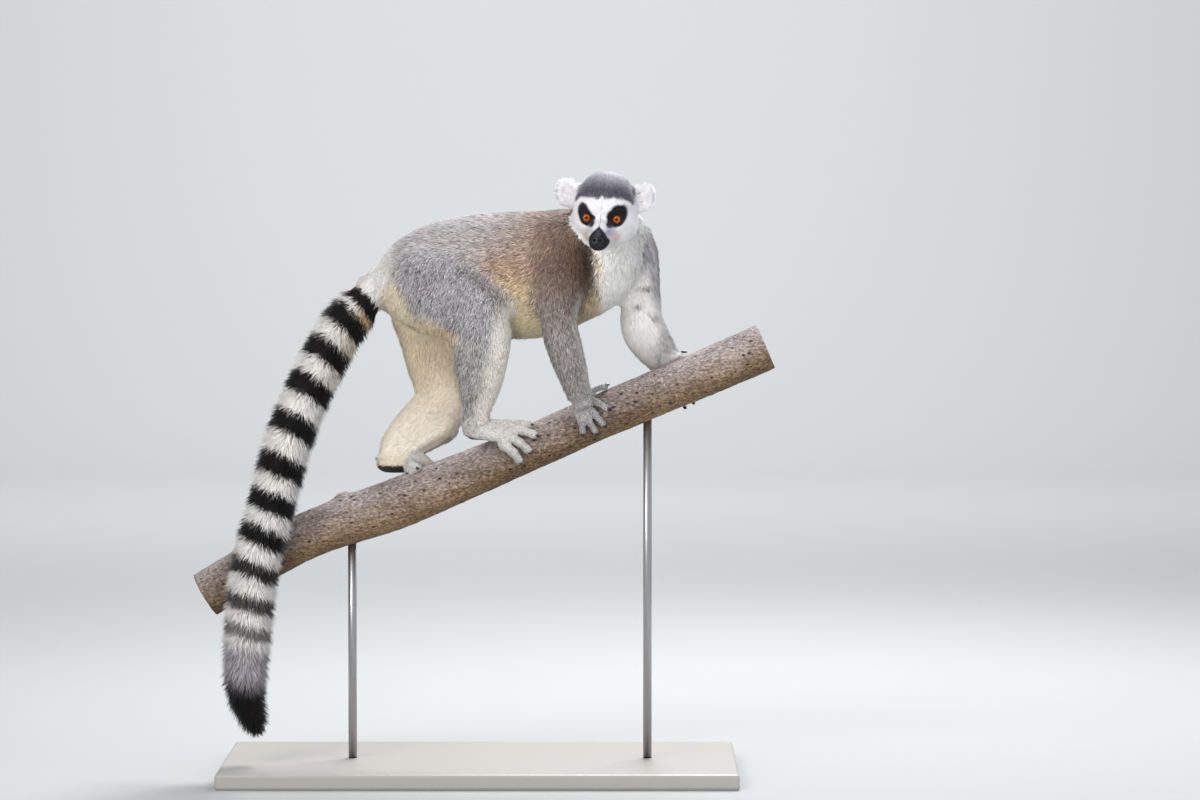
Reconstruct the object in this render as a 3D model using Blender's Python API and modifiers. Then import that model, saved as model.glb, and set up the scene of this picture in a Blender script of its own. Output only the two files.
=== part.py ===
"""A ring-tailed lemur, life size, walking up a cut length of branch on a plain display stand.

The animal walks towards +X and turns its chest and face to -Y, so its right side is the near one.
Its flesh starts as plain forms, lofts and balls, which are merged into one body, and that body is
parted by thin cuts where a person would name its parts. Every form reaches out to the coat's tips.
Metres, +Z up, with the origin at the middle of the base's underside.
"""

import math

import bmesh
import bpy
from mathutils import Matrix, Vector

# Driving dimensions
GAP = 0.0004  # between two pieces that touch
BASE_SIZE = Vector((0.600, 0.300, 0.018))
BASE_EDGE = 0.003
ROD_RADIUS = 0.005
ROD_PLACES = (-0.150, 0.196)  # along X, under the branch
ROD_IN_BASE = 0.012
ROD_IN_PERCH = 0.016
EYE_RADIUS = 0.0080
DIGIT_RADIUS = 0.0042

# The branch's axis from its low end to its high end: x, z, radius
PERCH_AXIS = (
    (-0.322, 0.210, 0.0270),
    (-0.211, 0.276, 0.0272),
    (-0.094, 0.319, 0.0295),
    (0.023, 0.367, 0.0265),
    (0.140, 0.419, 0.0260),
    (0.257, 0.468, 0.0268),
    (0.335, 0.502, 0.0275),
)
PERCH_SIDES = 16
PERCH_ROWS_APART = 6  # rows of the branch's line from one ring of its mesh to the next

# The head's own frame: x to the animal's left, -y ahead, z up, from the middle of the skull
HEAD_CENTRE = Vector((0.1470, -0.042, 0.664))
HEAD_TURN = math.radians(-7)
HEAD_ROLL = math.radians(3)
EYE_PLACE = Vector((0.0175, -0.0275, -0.0123))
EAR_PLACE = Vector((0.0435, 0.004, 0.013))
EAR_SIZE = Vector((0.0165, 0.0080, 0.0195))
EAR_LEAN = math.radians(25)
EAR_HOLLOW = (0.009, 0.007, 0.012)
HOLLOW_PLACE = EAR_PLACE + Vector((0, -0.008, -0.001))

# How finely the forms are merged, and how many triangles the whole body keeps
FLOW_VOXEL = 0.0022
FLOW_SMOOTHING = 22
BODY_VOXEL = 0.0016
BODY_SMOOTHING = 3
BODY_TRIANGLES = 3700

ACROSS_BODY = Vector((0, 1, 0))
UPWARDS = Vector((0, 0, 1))


def clear_scene():
    for thing in list(bpy.data.objects):
        bpy.data.objects.remove(thing)


def material(name, colour, roughness):
    made = bpy.data.materials.new(name)
    made.use_nodes = True
    made.diffuse_color = (*colour, 1)
    shader = made.node_tree.nodes["Principled BSDF"]
    shader.inputs["Base Color"].default_value = (*colour, 1)
    shader.inputs["Roughness"].default_value = roughness
    return made


def spline(knots, steps):
    """Points on a smooth curve through the knots, which are Vectors of any one length."""
    ends = [knots[0] * 2 - knots[1], *knots, knots[-1] * 2 - knots[-2]]
    points = []
    for a, b, c, d in zip(ends, ends[1:], ends[2:], ends[3:]):
        for i in range(steps):
            t = i / steps
            bend = (c - a) * t + (a * 2 - b * 5 + c * 4 - d) * t**2
            points.append(b + (bend + (b * 3 - a - c * 3 + d) * t**3) / 2)
    return points + [knots[-1]]


PERCH_LINE = spline([Vector((x, 0, z, r)) for x, z, r in PERCH_AXIS], 12)


def perch_at(x):
    """The branch's axis point, direction and radius at x."""
    after = next(i for i, row in enumerate(PERCH_LINE) if row[0] >= x or i == len(PERCH_LINE) - 1)
    after = max(after, 1)
    low, high = PERCH_LINE[after - 1], PERCH_LINE[after]
    row = low + (high - low) * ((x - low[0]) / (high[0] - low[0]))
    ahead = (Vector(high[:3]) - Vector(low[:3])).normalized()
    return Vector(row[:3]), ahead, row[3]


def on_perch(x, degrees, lift):
    """A point over the bark at x: degrees are 0 on top and 90 on the near side."""
    centre, ahead, radius = perch_at(x)
    out = ahead.cross(ACROSS_BODY) * math.cos(math.radians(degrees))
    out -= ACROSS_BODY * math.sin(math.radians(degrees))
    # The branch slopes, so the point over its axis at x is a little further along
    centre = perch_at(x - out.x * (radius + lift))[0]
    return centre + out * (radius + lift)


def add_loft(mesh, stations, across, sides=20, steps=4):
    """A closed tube through stations of (x, y, z, half width, half height), its width along across."""
    rows = spline([Vector(station) for station in stations], steps)
    rings = []
    for i, row in enumerate(rows):
        ahead = Vector(rows[min(i + 1, len(rows) - 1)][:3]) - Vector(rows[max(i - 1, 0)][:3])
        side = (across - across.project(ahead)).normalized()
        up = ahead.normalized().cross(side)
        ring = []
        for k in range(sides):
            turn = math.tau * k / sides
            spoke = side * (row[3] * math.cos(turn)) + up * (row[4] * math.sin(turn))
            ring.append(mesh.verts.new(Vector(row[:3]) + spoke))
        rings.append(ring)
    for low, high in zip(rings, rings[1:]):
        for k in range(sides):
            n = (k + 1) % sides
            mesh.faces.new((low[k], low[n], high[n], high[k]))
    mesh.faces.new(rings[0][::-1])
    mesh.faces.new(rings[-1])


def add_ball(mesh, centre, radii, turn=Matrix.Identity(4), segments=32):
    """An ellipsoid of three half lengths."""
    place = Matrix.Translation(centre) @ turn @ Matrix.Diagonal((*radii, 1))
    bmesh.ops.create_uvsphere(
        mesh, u_segments=segments, v_segments=segments // 2, radius=1, matrix=place
    )


def new_object(name, mesh, collection, finish=None):
    """Turns a bmesh into an object."""
    data = bpy.data.meshes.new(name)
    mesh.to_mesh(data)
    mesh.free()
    made = bpy.data.objects.new(name, data)
    collection.objects.link(made)
    if finish:
        data.materials.append(finish)
    return made


def bake(thing):
    """Replaces the object's mesh by what its modifiers make of it."""
    graph = bpy.context.evaluated_depsgraph_get()
    data = bpy.data.meshes.new_from_object(thing.evaluated_get(graph), depsgraph=graph)
    thing.modifiers.clear()
    thing.data = data


def merge(thing, voxel, smoothing):
    """Makes one closed skin round all the forms in the object."""
    remesh = thing.modifiers.new("merge", "REMESH")
    remesh.mode = "VOXEL"
    remesh.voxel_size = voxel
    soften = thing.modifiers.new("soften", "SMOOTH")
    soften.factor = 0.5
    soften.iterations = smoothing
    bake(thing)


def subtract(thing, cutter):
    """Cuts a closed object out of another one, for good."""
    cut = thing.modifiers.new("cut", "BOOLEAN")
    cut.operation = "DIFFERENCE"
    cut.object = cutter
    bake(thing)


def helper(thing):
    """Marks a cutter or a guide, which isn't part of the object."""
    thing.hide_render = True
    thing.display_type = "WIRE"
    return thing


# The forms, as (x, y, z, half width, half height)
TRUNK = (
    (-0.122, 0.012, 0.572, 0.014, 0.016),
    (-0.110, 0.012, 0.572, 0.031, 0.035),
    (-0.085, 0.012, 0.579, 0.045, 0.048),
    (-0.050, 0.012, 0.586, 0.055, 0.060),
    (-0.010, 0.013, 0.586, 0.060, 0.070),
    (0.035, 0.014, 0.584, 0.062, 0.075),
    (0.075, 0.011, 0.587, 0.060, 0.074),
    (0.110, 0.000, 0.597, 0.058, 0.067),
    (0.138, -0.018, 0.599, 0.054, 0.062),
    (0.155, -0.034, 0.594, 0.042, 0.053),
    (0.164, -0.045, 0.590, 0.020, 0.030),
)
NECK = (
    (0.126, 0.004, 0.606, 0.054, 0.052),
    (0.142, -0.008, 0.628, 0.050, 0.043),
    (0.148, -0.024, 0.646, 0.042, 0.038),
    (0.148, -0.034, 0.660, 0.034, 0.034),
)
RIGHT_ARM = (
    (0.106, -0.020, 0.636, 0.030, 0.028),
    (0.101, -0.036, 0.612, 0.035, 0.031),
    (0.097, -0.046, 0.586, 0.031, 0.027),
    (0.093, -0.052, 0.560, 0.026, 0.023),
    (0.092, -0.053, 0.536, 0.022, 0.021),
    (0.0955, -0.052, 0.516, 0.0220, 0.020),
    (0.101, -0.048, 0.496, 0.0215, 0.0185),
    (0.108, -0.043, 0.474, 0.0195, 0.0165),
    (0.1135, -0.038, 0.455, 0.0165, 0.0140),
    (0.119, -0.034, 0.440, 0.0130, 0.0110),
)
LEFT_ARM = (
    (0.170, 0.008, 0.636, 0.026, 0.028),
    (0.178, 0.016, 0.612, 0.030, 0.030),
    (0.183, 0.020, 0.585, 0.028, 0.027),
    (0.187, 0.014, 0.558, 0.0245, 0.025),
    (0.188, 0.006, 0.536, 0.0255, 0.025),
    (0.193, 0.004, 0.519, 0.0270, 0.024),
    (0.203, 0.010, 0.502, 0.0255, 0.021),
    (0.213, 0.018, 0.488, 0.0220, 0.0170),
    (0.220, 0.022, 0.478, 0.0170, 0.0120),
)
RIGHT_THIGH = (
    (-0.092, -0.010, 0.588, 0.034, 0.040),
    (-0.072, -0.018, 0.578, 0.040, 0.052),
    (-0.045, -0.026, 0.566, 0.040, 0.054),
    (-0.018, -0.037, 0.552, 0.036, 0.047),
    (0.004, -0.046, 0.538, 0.031, 0.038),
    (0.012, -0.049, 0.528, 0.024, 0.030),
)
RIGHT_SHANK = (
    (0.006, -0.049, 0.548, 0.024, 0.024),
    (0.004, -0.050, 0.525, 0.035, 0.027),
    (0.002, -0.047, 0.498, 0.0345, 0.0255),
    (0.002, -0.040, 0.474, 0.0300, 0.023),
    (0.000, -0.032, 0.453, 0.0250, 0.020),
    (-0.003, -0.025, 0.434, 0.0195, 0.017),
    (-0.007, -0.020, 0.416, 0.0150, 0.0145),
    (-0.010, -0.018, 0.404, 0.0110, 0.0120),
)
LEFT_THIGH = (
    (-0.085, 0.030, 0.580, 0.030, 0.034),
    (-0.068, 0.038, 0.548, 0.042, 0.036),
    (-0.057, 0.044, 0.512, 0.040, 0.033),
    (-0.052, 0.047, 0.480, 0.037, 0.029),
    (-0.045, 0.046, 0.456, 0.033, 0.027),
    (-0.036, 0.044, 0.440, 0.028, 0.024),
)
LEFT_SHANK = (
    (-0.028, 0.044, 0.450, 0.028, 0.024),
    (-0.042, 0.041, 0.434, 0.033, 0.025),
    (-0.061, 0.034, 0.417, 0.0320, 0.023),
    (-0.082, 0.026, 0.400, 0.0270, 0.020),
    (-0.099, 0.019, 0.386, 0.0205, 0.017),
    (-0.109, 0.014, 0.374, 0.0140, 0.013),
)
TAIL = (
    (-0.100, 0.012, 0.582, 0.020),
    (-0.118, 0.008, 0.572, 0.0265),
    (-0.138, 0.002, 0.551, 0.0285),
    (-0.166, -0.012, 0.515, 0.030),
    (-0.203, -0.034, 0.441, 0.030),
    (-0.225, -0.050, 0.380, 0.030),
    (-0.242, -0.059, 0.312, 0.030),
    (-0.259, -0.061, 0.250, 0.030),
    (-0.266, -0.061, 0.195, 0.030),
    (-0.270, -0.060, 0.146, 0.0285),
    (-0.271, -0.059, 0.100, 0.0250),
    (-0.262, -0.057, 0.070, 0.0170),
    (-0.256, -0.056, 0.048, 0.0050),
)


def flowing_forms():
    """The large forms, whose joints blend into each other."""
    mesh = bmesh.new()
    add_loft(mesh, TRUNK, ACROSS_BODY)
    add_loft(mesh, NECK, ACROSS_BODY.cross(UPWARDS) + ACROSS_BODY * 0.4)
    for arm in (RIGHT_ARM, LEFT_ARM):
        add_loft(mesh, arm, Vector((1, 0, 0)))
    add_loft(mesh, RIGHT_THIGH, ACROSS_BODY)
    add_loft(mesh, LEFT_THIGH, Vector((1, 0, 0)))
    for shank in (RIGHT_SHANK, LEFT_SHANK):
        add_loft(mesh, shank, Vector((1, 0, 0)))
    add_loft(mesh, [(*station, station[3]) for station in TAIL], ACROSS_BODY)
    head = head_frame()
    add_ball(mesh, head @ Vector((0, 0, 0.002)), (0.038, 0.043, 0.040), head.to_3x3().to_4x4())
    add_ball(mesh, head @ Vector((0, -0.006, -0.014)), (0.038, 0.032, 0.034), head.to_3x3().to_4x4())
    return mesh


def head_frame():
    place = Matrix.Translation(HEAD_CENTRE) @ Matrix.Rotation(HEAD_TURN, 4, "Z")
    return place @ Matrix.Rotation(HEAD_ROLL, 4, "Y")


MUZZLE = (
    (0, -0.014, -0.022, 0.0260, 0.0240),
    (0, -0.032, -0.0275, 0.0190, 0.0195),
    (0, -0.045, -0.0340, 0.0138, 0.0152),
    (0, -0.055, -0.0380, 0.0112, 0.0116),
    (0, -0.0615, -0.0398, 0.0078, 0.0078),
    (0, -0.0640, -0.0398, 0.0030, 0.0030),
)

# Each digit as three points over the bark: x along the branch, degrees round it, and lift
RIGHT_FINGERS = (
    ((0.116, 48, 0.011), (0.132, 18, 0.007), (0.149, 6, 0.0035)),
    ((0.126, 52, 0.008), (0.142, 64, 0.007), (0.153, 80, 0.0035)),
    ((0.125, 62, 0.008), (0.138, 88, 0.007), (0.148, 111, 0.0035)),
    ((0.122, 66, 0.008), (0.131, 95, 0.007), (0.139, 120, 0.0035)),
    ((0.119, 62, 0.008), (0.121, 86, 0.006), (0.1215, 106, 0.0035)),
)
LEFT_FINGERS = (
    ((0.222, -10, 0.009), (0.230, -2, 0.007), (0.239, 2, 0.0035)),
    ((0.228, -50, 0.008), (0.242, -85, 0.006), (0.252, -120, 0.0035)),
    ((0.226, -60, 0.008), (0.240, -105, 0.006), (0.250, -150, 0.0035)),
    ((0.222, -65, 0.008), (0.232, -110, 0.006), (0.240, -155, 0.0035)),
    ((0.217, -65, 0.008), (0.220, -100, 0.006), (0.224, -140, 0.0035)),
)
RIGHT_TOES = (
    ((0.006, 18, 0.018), (0.022, -34, 0.010), (0.030, -78, 0.0040)),
    ((0.030, 20, 0.012), (0.050, 26, 0.009), (0.066, 34, 0.0035)),
    ((0.032, 34, 0.012), (0.054, 50, 0.009), (0.072, 68, 0.0035)),
    ((0.032, 48, 0.012), (0.050, 72, 0.008), (0.064, 98, 0.0035)),
    ((0.028, 60, 0.011), (0.042, 84, 0.008), (0.052, 106, 0.0035)),
)
LEFT_TOES = (
    ((-0.060, -14, 0.018), (-0.070, 18, 0.012), (-0.079, 48, 0.0040)),
    ((-0.026, -20, 0.012), (-0.008, -26, 0.009), (0.008, -40, 0.0035)),
    ((-0.028, -34, 0.012), (-0.008, -52, 0.009), (0.010, -72, 0.0035)),
    ((-0.030, -48, 0.012), (-0.014, -75, 0.008), (-0.002, -100, 0.0035)),
    ((-0.034, -60, 0.011), (-0.022, -85, 0.008), (-0.014, -106, 0.0035)),
)
RIGHT_PALM = (
    (0.117, -0.035, 0.446, 0.0120, 0.0110),
    (0.121, -0.036, 0.436, 0.0130, 0.0105),
    (0.126, -0.037, 0.427, 0.0125, 0.0080),
    (0.130, -0.036, 0.420, 0.0100, 0.0060),
)
LEFT_PALM = (
    (0.221, 0.018, 0.488, 0.0120, 0.0120),
    (0.225, 0.026, 0.481, 0.0130, 0.0105),
    (0.229, 0.034, 0.470, 0.0125, 0.0080),
    (0.233, 0.037, 0.460, 0.0100, 0.0060),
)
RIGHT_SOLE = (
    (-0.017, -0.014, 0.404, 0.0080, 0.0080),
    (-0.010, -0.016, 0.405, 0.0130, 0.0130),
    (0.008, -0.019, 0.405, 0.0160, 0.0120),
    (0.028, -0.022, 0.403, 0.0175, 0.0095),
    (0.042, -0.024, 0.400, 0.0150, 0.0070),
)
LEFT_SOLE = (
    (-0.121, 0.009, 0.366, 0.0080, 0.0080),
    (-0.112, 0.010, 0.366, 0.0140, 0.0135),
    (-0.088, 0.012, 0.368, 0.0155, 0.0160),
    (-0.058, 0.018, 0.385, 0.0165, 0.0125),
    (-0.030, 0.021, 0.397, 0.0165, 0.0100),
    (-0.018, 0.023, 0.398, 0.0130, 0.0070),
)


def fine_forms():
    """The muzzle, ears, hands and feet, which keep crisper shapes."""
    mesh = bmesh.new()
    head = head_frame()
    start = len(mesh.verts)
    add_loft(mesh, MUZZLE, Vector((1, 0, 0)))
    mesh.verts.ensure_lookup_table()
    bmesh.ops.transform(mesh, matrix=head, verts=mesh.verts[start:])
    for side in (-1, 1):
        place = head @ Vector((side * EAR_PLACE.x, EAR_PLACE.y, EAR_PLACE.z))
        lean = head.to_3x3().to_4x4() @ Matrix.Rotation(side * EAR_LEAN, 4, "Y")
        add_ball(mesh, place, EAR_SIZE, lean)
    add_loft(mesh, RIGHT_PALM, Vector((1, 0, 0)))
    add_loft(mesh, LEFT_PALM, Vector((1, 0, 0)))
    add_loft(mesh, RIGHT_SOLE, Vector((0, -0.8, -0.6)))
    add_loft(mesh, LEFT_SOLE, Vector((0, 0.8, -0.6)))
    for digits in (RIGHT_FINGERS, LEFT_FINGERS, RIGHT_TOES, LEFT_TOES):
        for root, middle, tip in digits:
            points = [on_perch(*root), on_perch(*middle), on_perch(*tip)]
            sizes = (DIGIT_RADIUS * 1.3, DIGIT_RADIUS, DIGIT_RADIUS * 0.8)
            stations = [(*point, size, size) for point, size in zip(points, sizes)]
            add_loft(mesh, stations, Vector((0.6, 0.2, 0.7)), sides=12, steps=5)
    return mesh


def perch_mesh(extra):
    """The branch, thicker than life by extra on its radius."""
    mesh = bmesh.new()
    rows = [(x, y, z, r + extra, r + extra) for x, y, z, r in PERCH_LINE[::PERCH_ROWS_APART]]
    add_loft(mesh, rows, ACROSS_BODY, sides=PERCH_SIDES, steps=1)
    return mesh


def rod_mesh(x, extra):
    """A rod from inside the base to inside the branch."""
    top = perch_at(x)[0].z - perch_at(x)[2] + ROD_IN_PERCH + extra
    bottom = BASE_SIZE.z - ROD_IN_BASE - extra
    mesh = bmesh.new()
    bmesh.ops.create_cone(
        mesh,
        cap_ends=True,
        segments=20,
        radius1=ROD_RADIUS + extra,
        radius2=ROD_RADIUS + extra,
        depth=top - bottom,
        matrix=Matrix.Translation((x, 0, (top + bottom) / 2)),
    )
    return mesh


# Cuts, in the order they are made: node parted off, a point on it, the cut's middle, the way
# from the cut to the node, and the cut's radius
HEAD_PARTS = (
    ("muzzle", (0, -0.058, -0.040), (0, -0.040, -0.030), (0, -0.93, -0.36), 0.022),
    ("ear_right", (-0.052, 0.004, 0.020), (-0.0355, 0.004, 0.0095), (-0.90, 0, 0.42), 0.029),
    ("ear_left", (0.052, 0.004, 0.020), (0.0355, 0.004, 0.0095), (0.90, 0, 0.42), 0.029),
)
LIMB_PARTS = (
    ("hand_right", (0.127, -0.035, 0.425), (0.1160, -0.036, 0.448), (0.25, 0.20, -0.95), 0.026),
    ("forearm_right", (0.105, -0.045, 0.480), (0.0935, -0.053, 0.524), (0.15, 0.0, -0.99), 0.030),
    ("hand_left", (0.230, 0.032, 0.468), (0.2190, 0.020, 0.4890), (0.60, 0.35, -0.72), 0.034),
    ("forearm_left", (0.208, 0.012, 0.500), (0.1915, 0.006, 0.527), (0.35, 0.1, -0.93), 0.040),
    ("foot_right", (0.020, -0.020, 0.402), (-0.0075, -0.020, 0.416), (0.15, 0.10, -0.98), 0.030),
    ("shank_right", (0.001, -0.040, 0.470), (0.003, -0.049, 0.517), (0.32, 0.0, -0.95), 0.042),
    ("tail_4", (-0.271, -0.060, 0.100), (-0.266, -0.061, 0.185), (-0.13, 0, -0.99), 0.040),
    ("tail_3", (-0.257, -0.061, 0.250), (-0.240, -0.058, 0.320), (-0.24, -0.1, -0.96), 0.040),
    ("tail_2", (-0.220, -0.046, 0.395), (-0.193, -0.029, 0.460), (-0.42, -0.25, -0.87), 0.040),
    ("tail_1", (-0.150, -0.006, 0.530), (-0.1290, 0.004, 0.562), (-0.70, -0.25, -0.66), 0.033),
)
NECK_PARTS = (
    ("head", (0.147, -0.050, 0.664), (0.147, -0.028, 0.649), (0.0, -0.70, 0.72), 0.075),
    ("neck", (0.147, -0.024, 0.640), (0.143, -0.016, 0.628), (0.60, -0.45, 0.66), 0.100),
)

# Where each limb's root sits in the trunk: a loft that holds the limb, and its width's way
RIGHT_HIP = (
    (-0.112, -0.050, 0.590, 0.020, 0.030),
    (-0.092, -0.054, 0.588, 0.036, 0.046),
    (-0.072, -0.058, 0.578, 0.038, 0.058),
    (-0.045, -0.060, 0.566, 0.038, 0.060),
    (-0.018, -0.058, 0.552, 0.040, 0.053),
    (0.004, -0.054, 0.538, 0.042, 0.046),
    (0.030, -0.054, 0.522, 0.042, 0.040),
)
LEFT_HIP = (
    (-0.100, 0.070, 0.590, 0.020, 0.020),
    (-0.085, 0.064, 0.576, 0.040, 0.036),
    (-0.068, 0.058, 0.548, 0.048, 0.040),
    (-0.057, 0.050, 0.512, 0.046, 0.042),
    (-0.052, 0.047, 0.480, 0.044, 0.038),
    (-0.045, 0.046, 0.430, 0.042, 0.036),
)
LEFT_CALF = (
    (-0.020, 0.045, 0.455, 0.034, 0.030),
    (-0.061, 0.034, 0.417, 0.036, 0.029),
    (-0.099, 0.019, 0.386, 0.025, 0.022),
    (-0.116, 0.012, 0.370, 0.014, 0.014),
)
DISC_SIDES = 16
SOCKET_SIDES = 10
EYE_SIDES = 12
SWELL = 0.004  # by which a socket is wider than the form that starts in it
CRUMB = 1e-7  # cubic metres, the size of a speck that a cut can leave
LIMB_ROOTS = (
    ("shank_left", LEFT_CALF, Vector((1, 0, 0)), 0),
    ("upper_arm_right", RIGHT_ARM, Vector((1, 0, 0)), SWELL),
    ("upper_arm_left", LEFT_ARM, Vector((1, 0, 0)), SWELL),
    ("thigh_left", LEFT_HIP, Vector((1, 0, 0)), 0),
    ("thigh_right", RIGHT_HIP, ACROSS_BODY, 0),
)


def disc(name, middle, way, radius, collection):
    mesh = bmesh.new()
    turn = way.to_track_quat("Z", "Y").to_matrix().to_4x4()
    bmesh.ops.create_cone(
        mesh,
        cap_ends=True,
        segments=DISC_SIDES,
        radius1=radius,
        radius2=radius,
        depth=GAP,
        matrix=Matrix.Translation(middle) @ turn,
    )
    return helper(new_object(name, mesh, collection))


def loose_pieces(mesh):
    """The separate closed bodies of a mesh, each as a set of its faces' numbers."""
    grid = bmesh.new()
    grid.from_mesh(mesh)
    left = set(grid.faces)
    pieces = []
    while left:
        todo = [left.pop()]
        piece = set(todo)
        while todo:
            near = {f for e in todo.pop().edges for f in e.link_faces} & left
            left -= near
            piece |= near
            todo += near
        pieces.append({f.index for f in piece})
    grid.free()
    return pieces


def volume_of(mesh, numbers):
    """The volume inside one closed body of a mesh."""
    total = 0
    for number in numbers:
        corners = [mesh.vertices[v].co for v in mesh.polygons[number].vertices]
        for b, c in zip(corners[1:], corners[2:]):
            total += corners[0].dot(b.cross(c)) / 6
    return total


def keep_faces(mesh, numbers):
    """A copy of the mesh with only these of its faces."""
    grid = bmesh.new()
    grid.from_mesh(mesh)
    bmesh.ops.delete(grid, geom=[f for f in grid.faces if f.index not in numbers], context="FACES")
    kept = bpy.data.meshes.new(mesh.name)
    grid.to_mesh(kept)
    grid.free()
    return kept


def drop_crumbs(thing):
    """Leaves out the specks that a cut can leave at an edge."""
    mesh = thing.data
    kept = [piece for piece in loose_pieces(mesh) if volume_of(mesh, piece) > CRUMB]
    thing.data = keep_faces(mesh, set().union(*kept))
    return len(kept)


def set_apart(body, name, inside, parts, finish):
    """Makes the loose piece of the body round the inside point a node of its own."""
    mesh = body.data

    def nearness(piece):
        corners = {v for number in piece for v in mesh.polygons[number].vertices}
        return min((mesh.vertices[v].co - inside).length for v in corners)

    pieces = sorted(loose_pieces(mesh), key=nearness)
    if len(pieces) != 2:
        raise ValueError(f"{name}: the cut left {len(pieces)} pieces, not 2")
    node = bpy.data.objects.new(name, keep_faces(mesh, pieces[0]))
    node.data.materials.append(finish)
    parts.objects.link(node)
    body.data = keep_faces(mesh, pieces[1])


def part_off(body, name, inside, middle, way, radius, parts, cutters, finish):
    """Cuts a piece off the body with a thin disc."""
    subtract(body, disc("cut_" + name, middle, way, radius, cutters))
    drop_crumbs(body)
    set_apart(body, name, inside, parts, finish)


def socket(name, stations, across, extra, gap, collection):
    """The solid that a limb's root fills in the trunk, or with a gap the hollow round it."""
    mesh = bmesh.new()
    swollen = [Vector((x, y, z, w + extra + gap, h + extra + gap)) for x, y, z, w, h in stations]
    for end, beside in ((0, 1), (-1, -2)):
        out = (swollen[end] - swollen[beside]).xyz.normalized() * gap
        swollen[end] += Vector((*out, 0, 0))
    add_loft(mesh, swollen, across, sides=SOCKET_SIDES, steps=1)
    # The hollow and its plug are split along the same diagonals, so that they never cross
    walls = [face for face in mesh.faces if len(face.verts) == 4]
    bmesh.ops.triangulate(mesh, faces=walls, quad_method="FIXED")
    return helper(new_object(name, mesh, collection))


def unplug(body, name, stations, across, extra, parts, cutters, finish):
    """Takes a limb out of the body, along the surface of its socket."""
    limb = bpy.data.objects.new(name, body.data.copy())
    parts.objects.link(limb)
    root = limb.modifiers.new("root", "BOOLEAN")
    root.operation = "INTERSECT"
    root.object = socket("root_" + name, stations, across, extra, 0, cutters)
    bake(limb)
    subtract(body, socket("cut_" + name, stations, across, extra, GAP, cutters))
    if drop_crumbs(limb) != 1:
        raise ValueError(f"{name}: its socket holds more than one piece")
    drop_crumbs(body)
    limb.data.materials.append(finish)


def make_body(parts, cutters, coats):
    """Merges the forms, thins the mesh, opens the eye sockets and ears, and parts the body."""
    body = new_object("body", flowing_forms(), parts)
    merge(body, FLOW_VOXEL, FLOW_SMOOTHING)
    fine = fine_forms()
    fine.from_mesh(body.data)
    body.data = new_object("fine", fine, parts).data
    bpy.data.objects.remove(bpy.data.objects["fine"])
    merge(body, BODY_VOXEL, BODY_SMOOTHING)
    thin = body.modifiers.new("thin", "DECIMATE")
    thin.ratio = BODY_TRIANGLES / sum(len(f.vertices) - 2 for f in body.data.polygons)
    bake(body)
    subtract(body, helper(new_object("cut_grip", perch_mesh(GAP * 1.5), cutters)))
    head = head_frame()
    sockets = bmesh.new()
    for side in (-1, 1):
        eye = head @ Vector((side * EYE_PLACE.x, EYE_PLACE.y, EYE_PLACE.z))
        add_ball(sockets, eye, [EYE_RADIUS + GAP] * 3, segments=EYE_SIDES)
        hollow = head @ Vector((side * EAR_PLACE.x, HOLLOW_PLACE.y, HOLLOW_PLACE.z))
        add_ball(sockets, hollow, EAR_HOLLOW, segments=EYE_SIDES)
    subtract(body, helper(new_object("cut_sockets", sockets, cutters)))
    for name, inside, middle, way, radius in HEAD_PARTS:
        way = head.to_3x3() @ Vector(way)
        spot, middle = head @ Vector(inside), head @ Vector(middle)
        part_off(body, name, spot, middle, way, radius, parts, cutters, coats[name])
    for name, inside, middle, way, radius in LIMB_PARTS:
        spot, middle, way = Vector(inside), Vector(middle), Vector(way)
        part_off(body, name, spot, middle, way, radius, parts, cutters, coats[name])
    for name, stations, across, extra in LIMB_ROOTS:
        unplug(body, name, stations, across, extra, parts, cutters, coats[name])
        if name == "shank_left":
            set_apart(body, "foot_left", Vector(LEFT_SOLE[1][:3]), parts, coats["foot_left"])
    for name, inside, middle, way, radius in NECK_PARTS:
        spot, middle, way = Vector(inside), Vector(middle), Vector(way)
        part_off(body, name, spot, middle, way, radius, parts, cutters, coats[name])
    body.name = "trunk"
    body.data.materials.append(coats["trunk"])


def make_eyes(parts, finish):
    head = head_frame()
    for name, side in (("eye_right", -1), ("eye_left", 1)):
        mesh = bmesh.new()
        eye = head @ Vector((side * EYE_PLACE.x, EYE_PLACE.y, EYE_PLACE.z))
        add_ball(mesh, eye, [EYE_RADIUS] * 3, segments=EYE_SIDES)
        new_object(name, mesh, parts, finish)


def make_stand(parts, cutters, board, steel, bark):
    """The branch, the base and the two rods, whose ends stand in drilled holes."""
    holes = bmesh.new()
    for i, x in enumerate(ROD_PLACES):
        new_object(f"stand_rod_{i + 1}", rod_mesh(x, 0), parts, steel)
        hole = new_object("hole", rod_mesh(x, GAP), cutters)
        holes.from_mesh(hole.data)
        bpy.data.objects.remove(hole)
    drill = helper(new_object("cut_holes", holes, cutters))
    subtract(new_object("perch", perch_mesh(0), parts, bark), drill)
    mesh = bmesh.new()
    place = Matrix.Translation((0, 0, BASE_SIZE.z / 2)) @ Matrix.Diagonal((*BASE_SIZE, 1))
    bmesh.ops.create_cube(mesh, size=1, matrix=place)
    base = new_object("stand_base", mesh, parts, board)
    edge = base.modifiers.new("edge", "BEVEL")
    edge.width = BASE_EDGE
    edge.segments = 2
    bake(base)
    subtract(base, drill)


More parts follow.
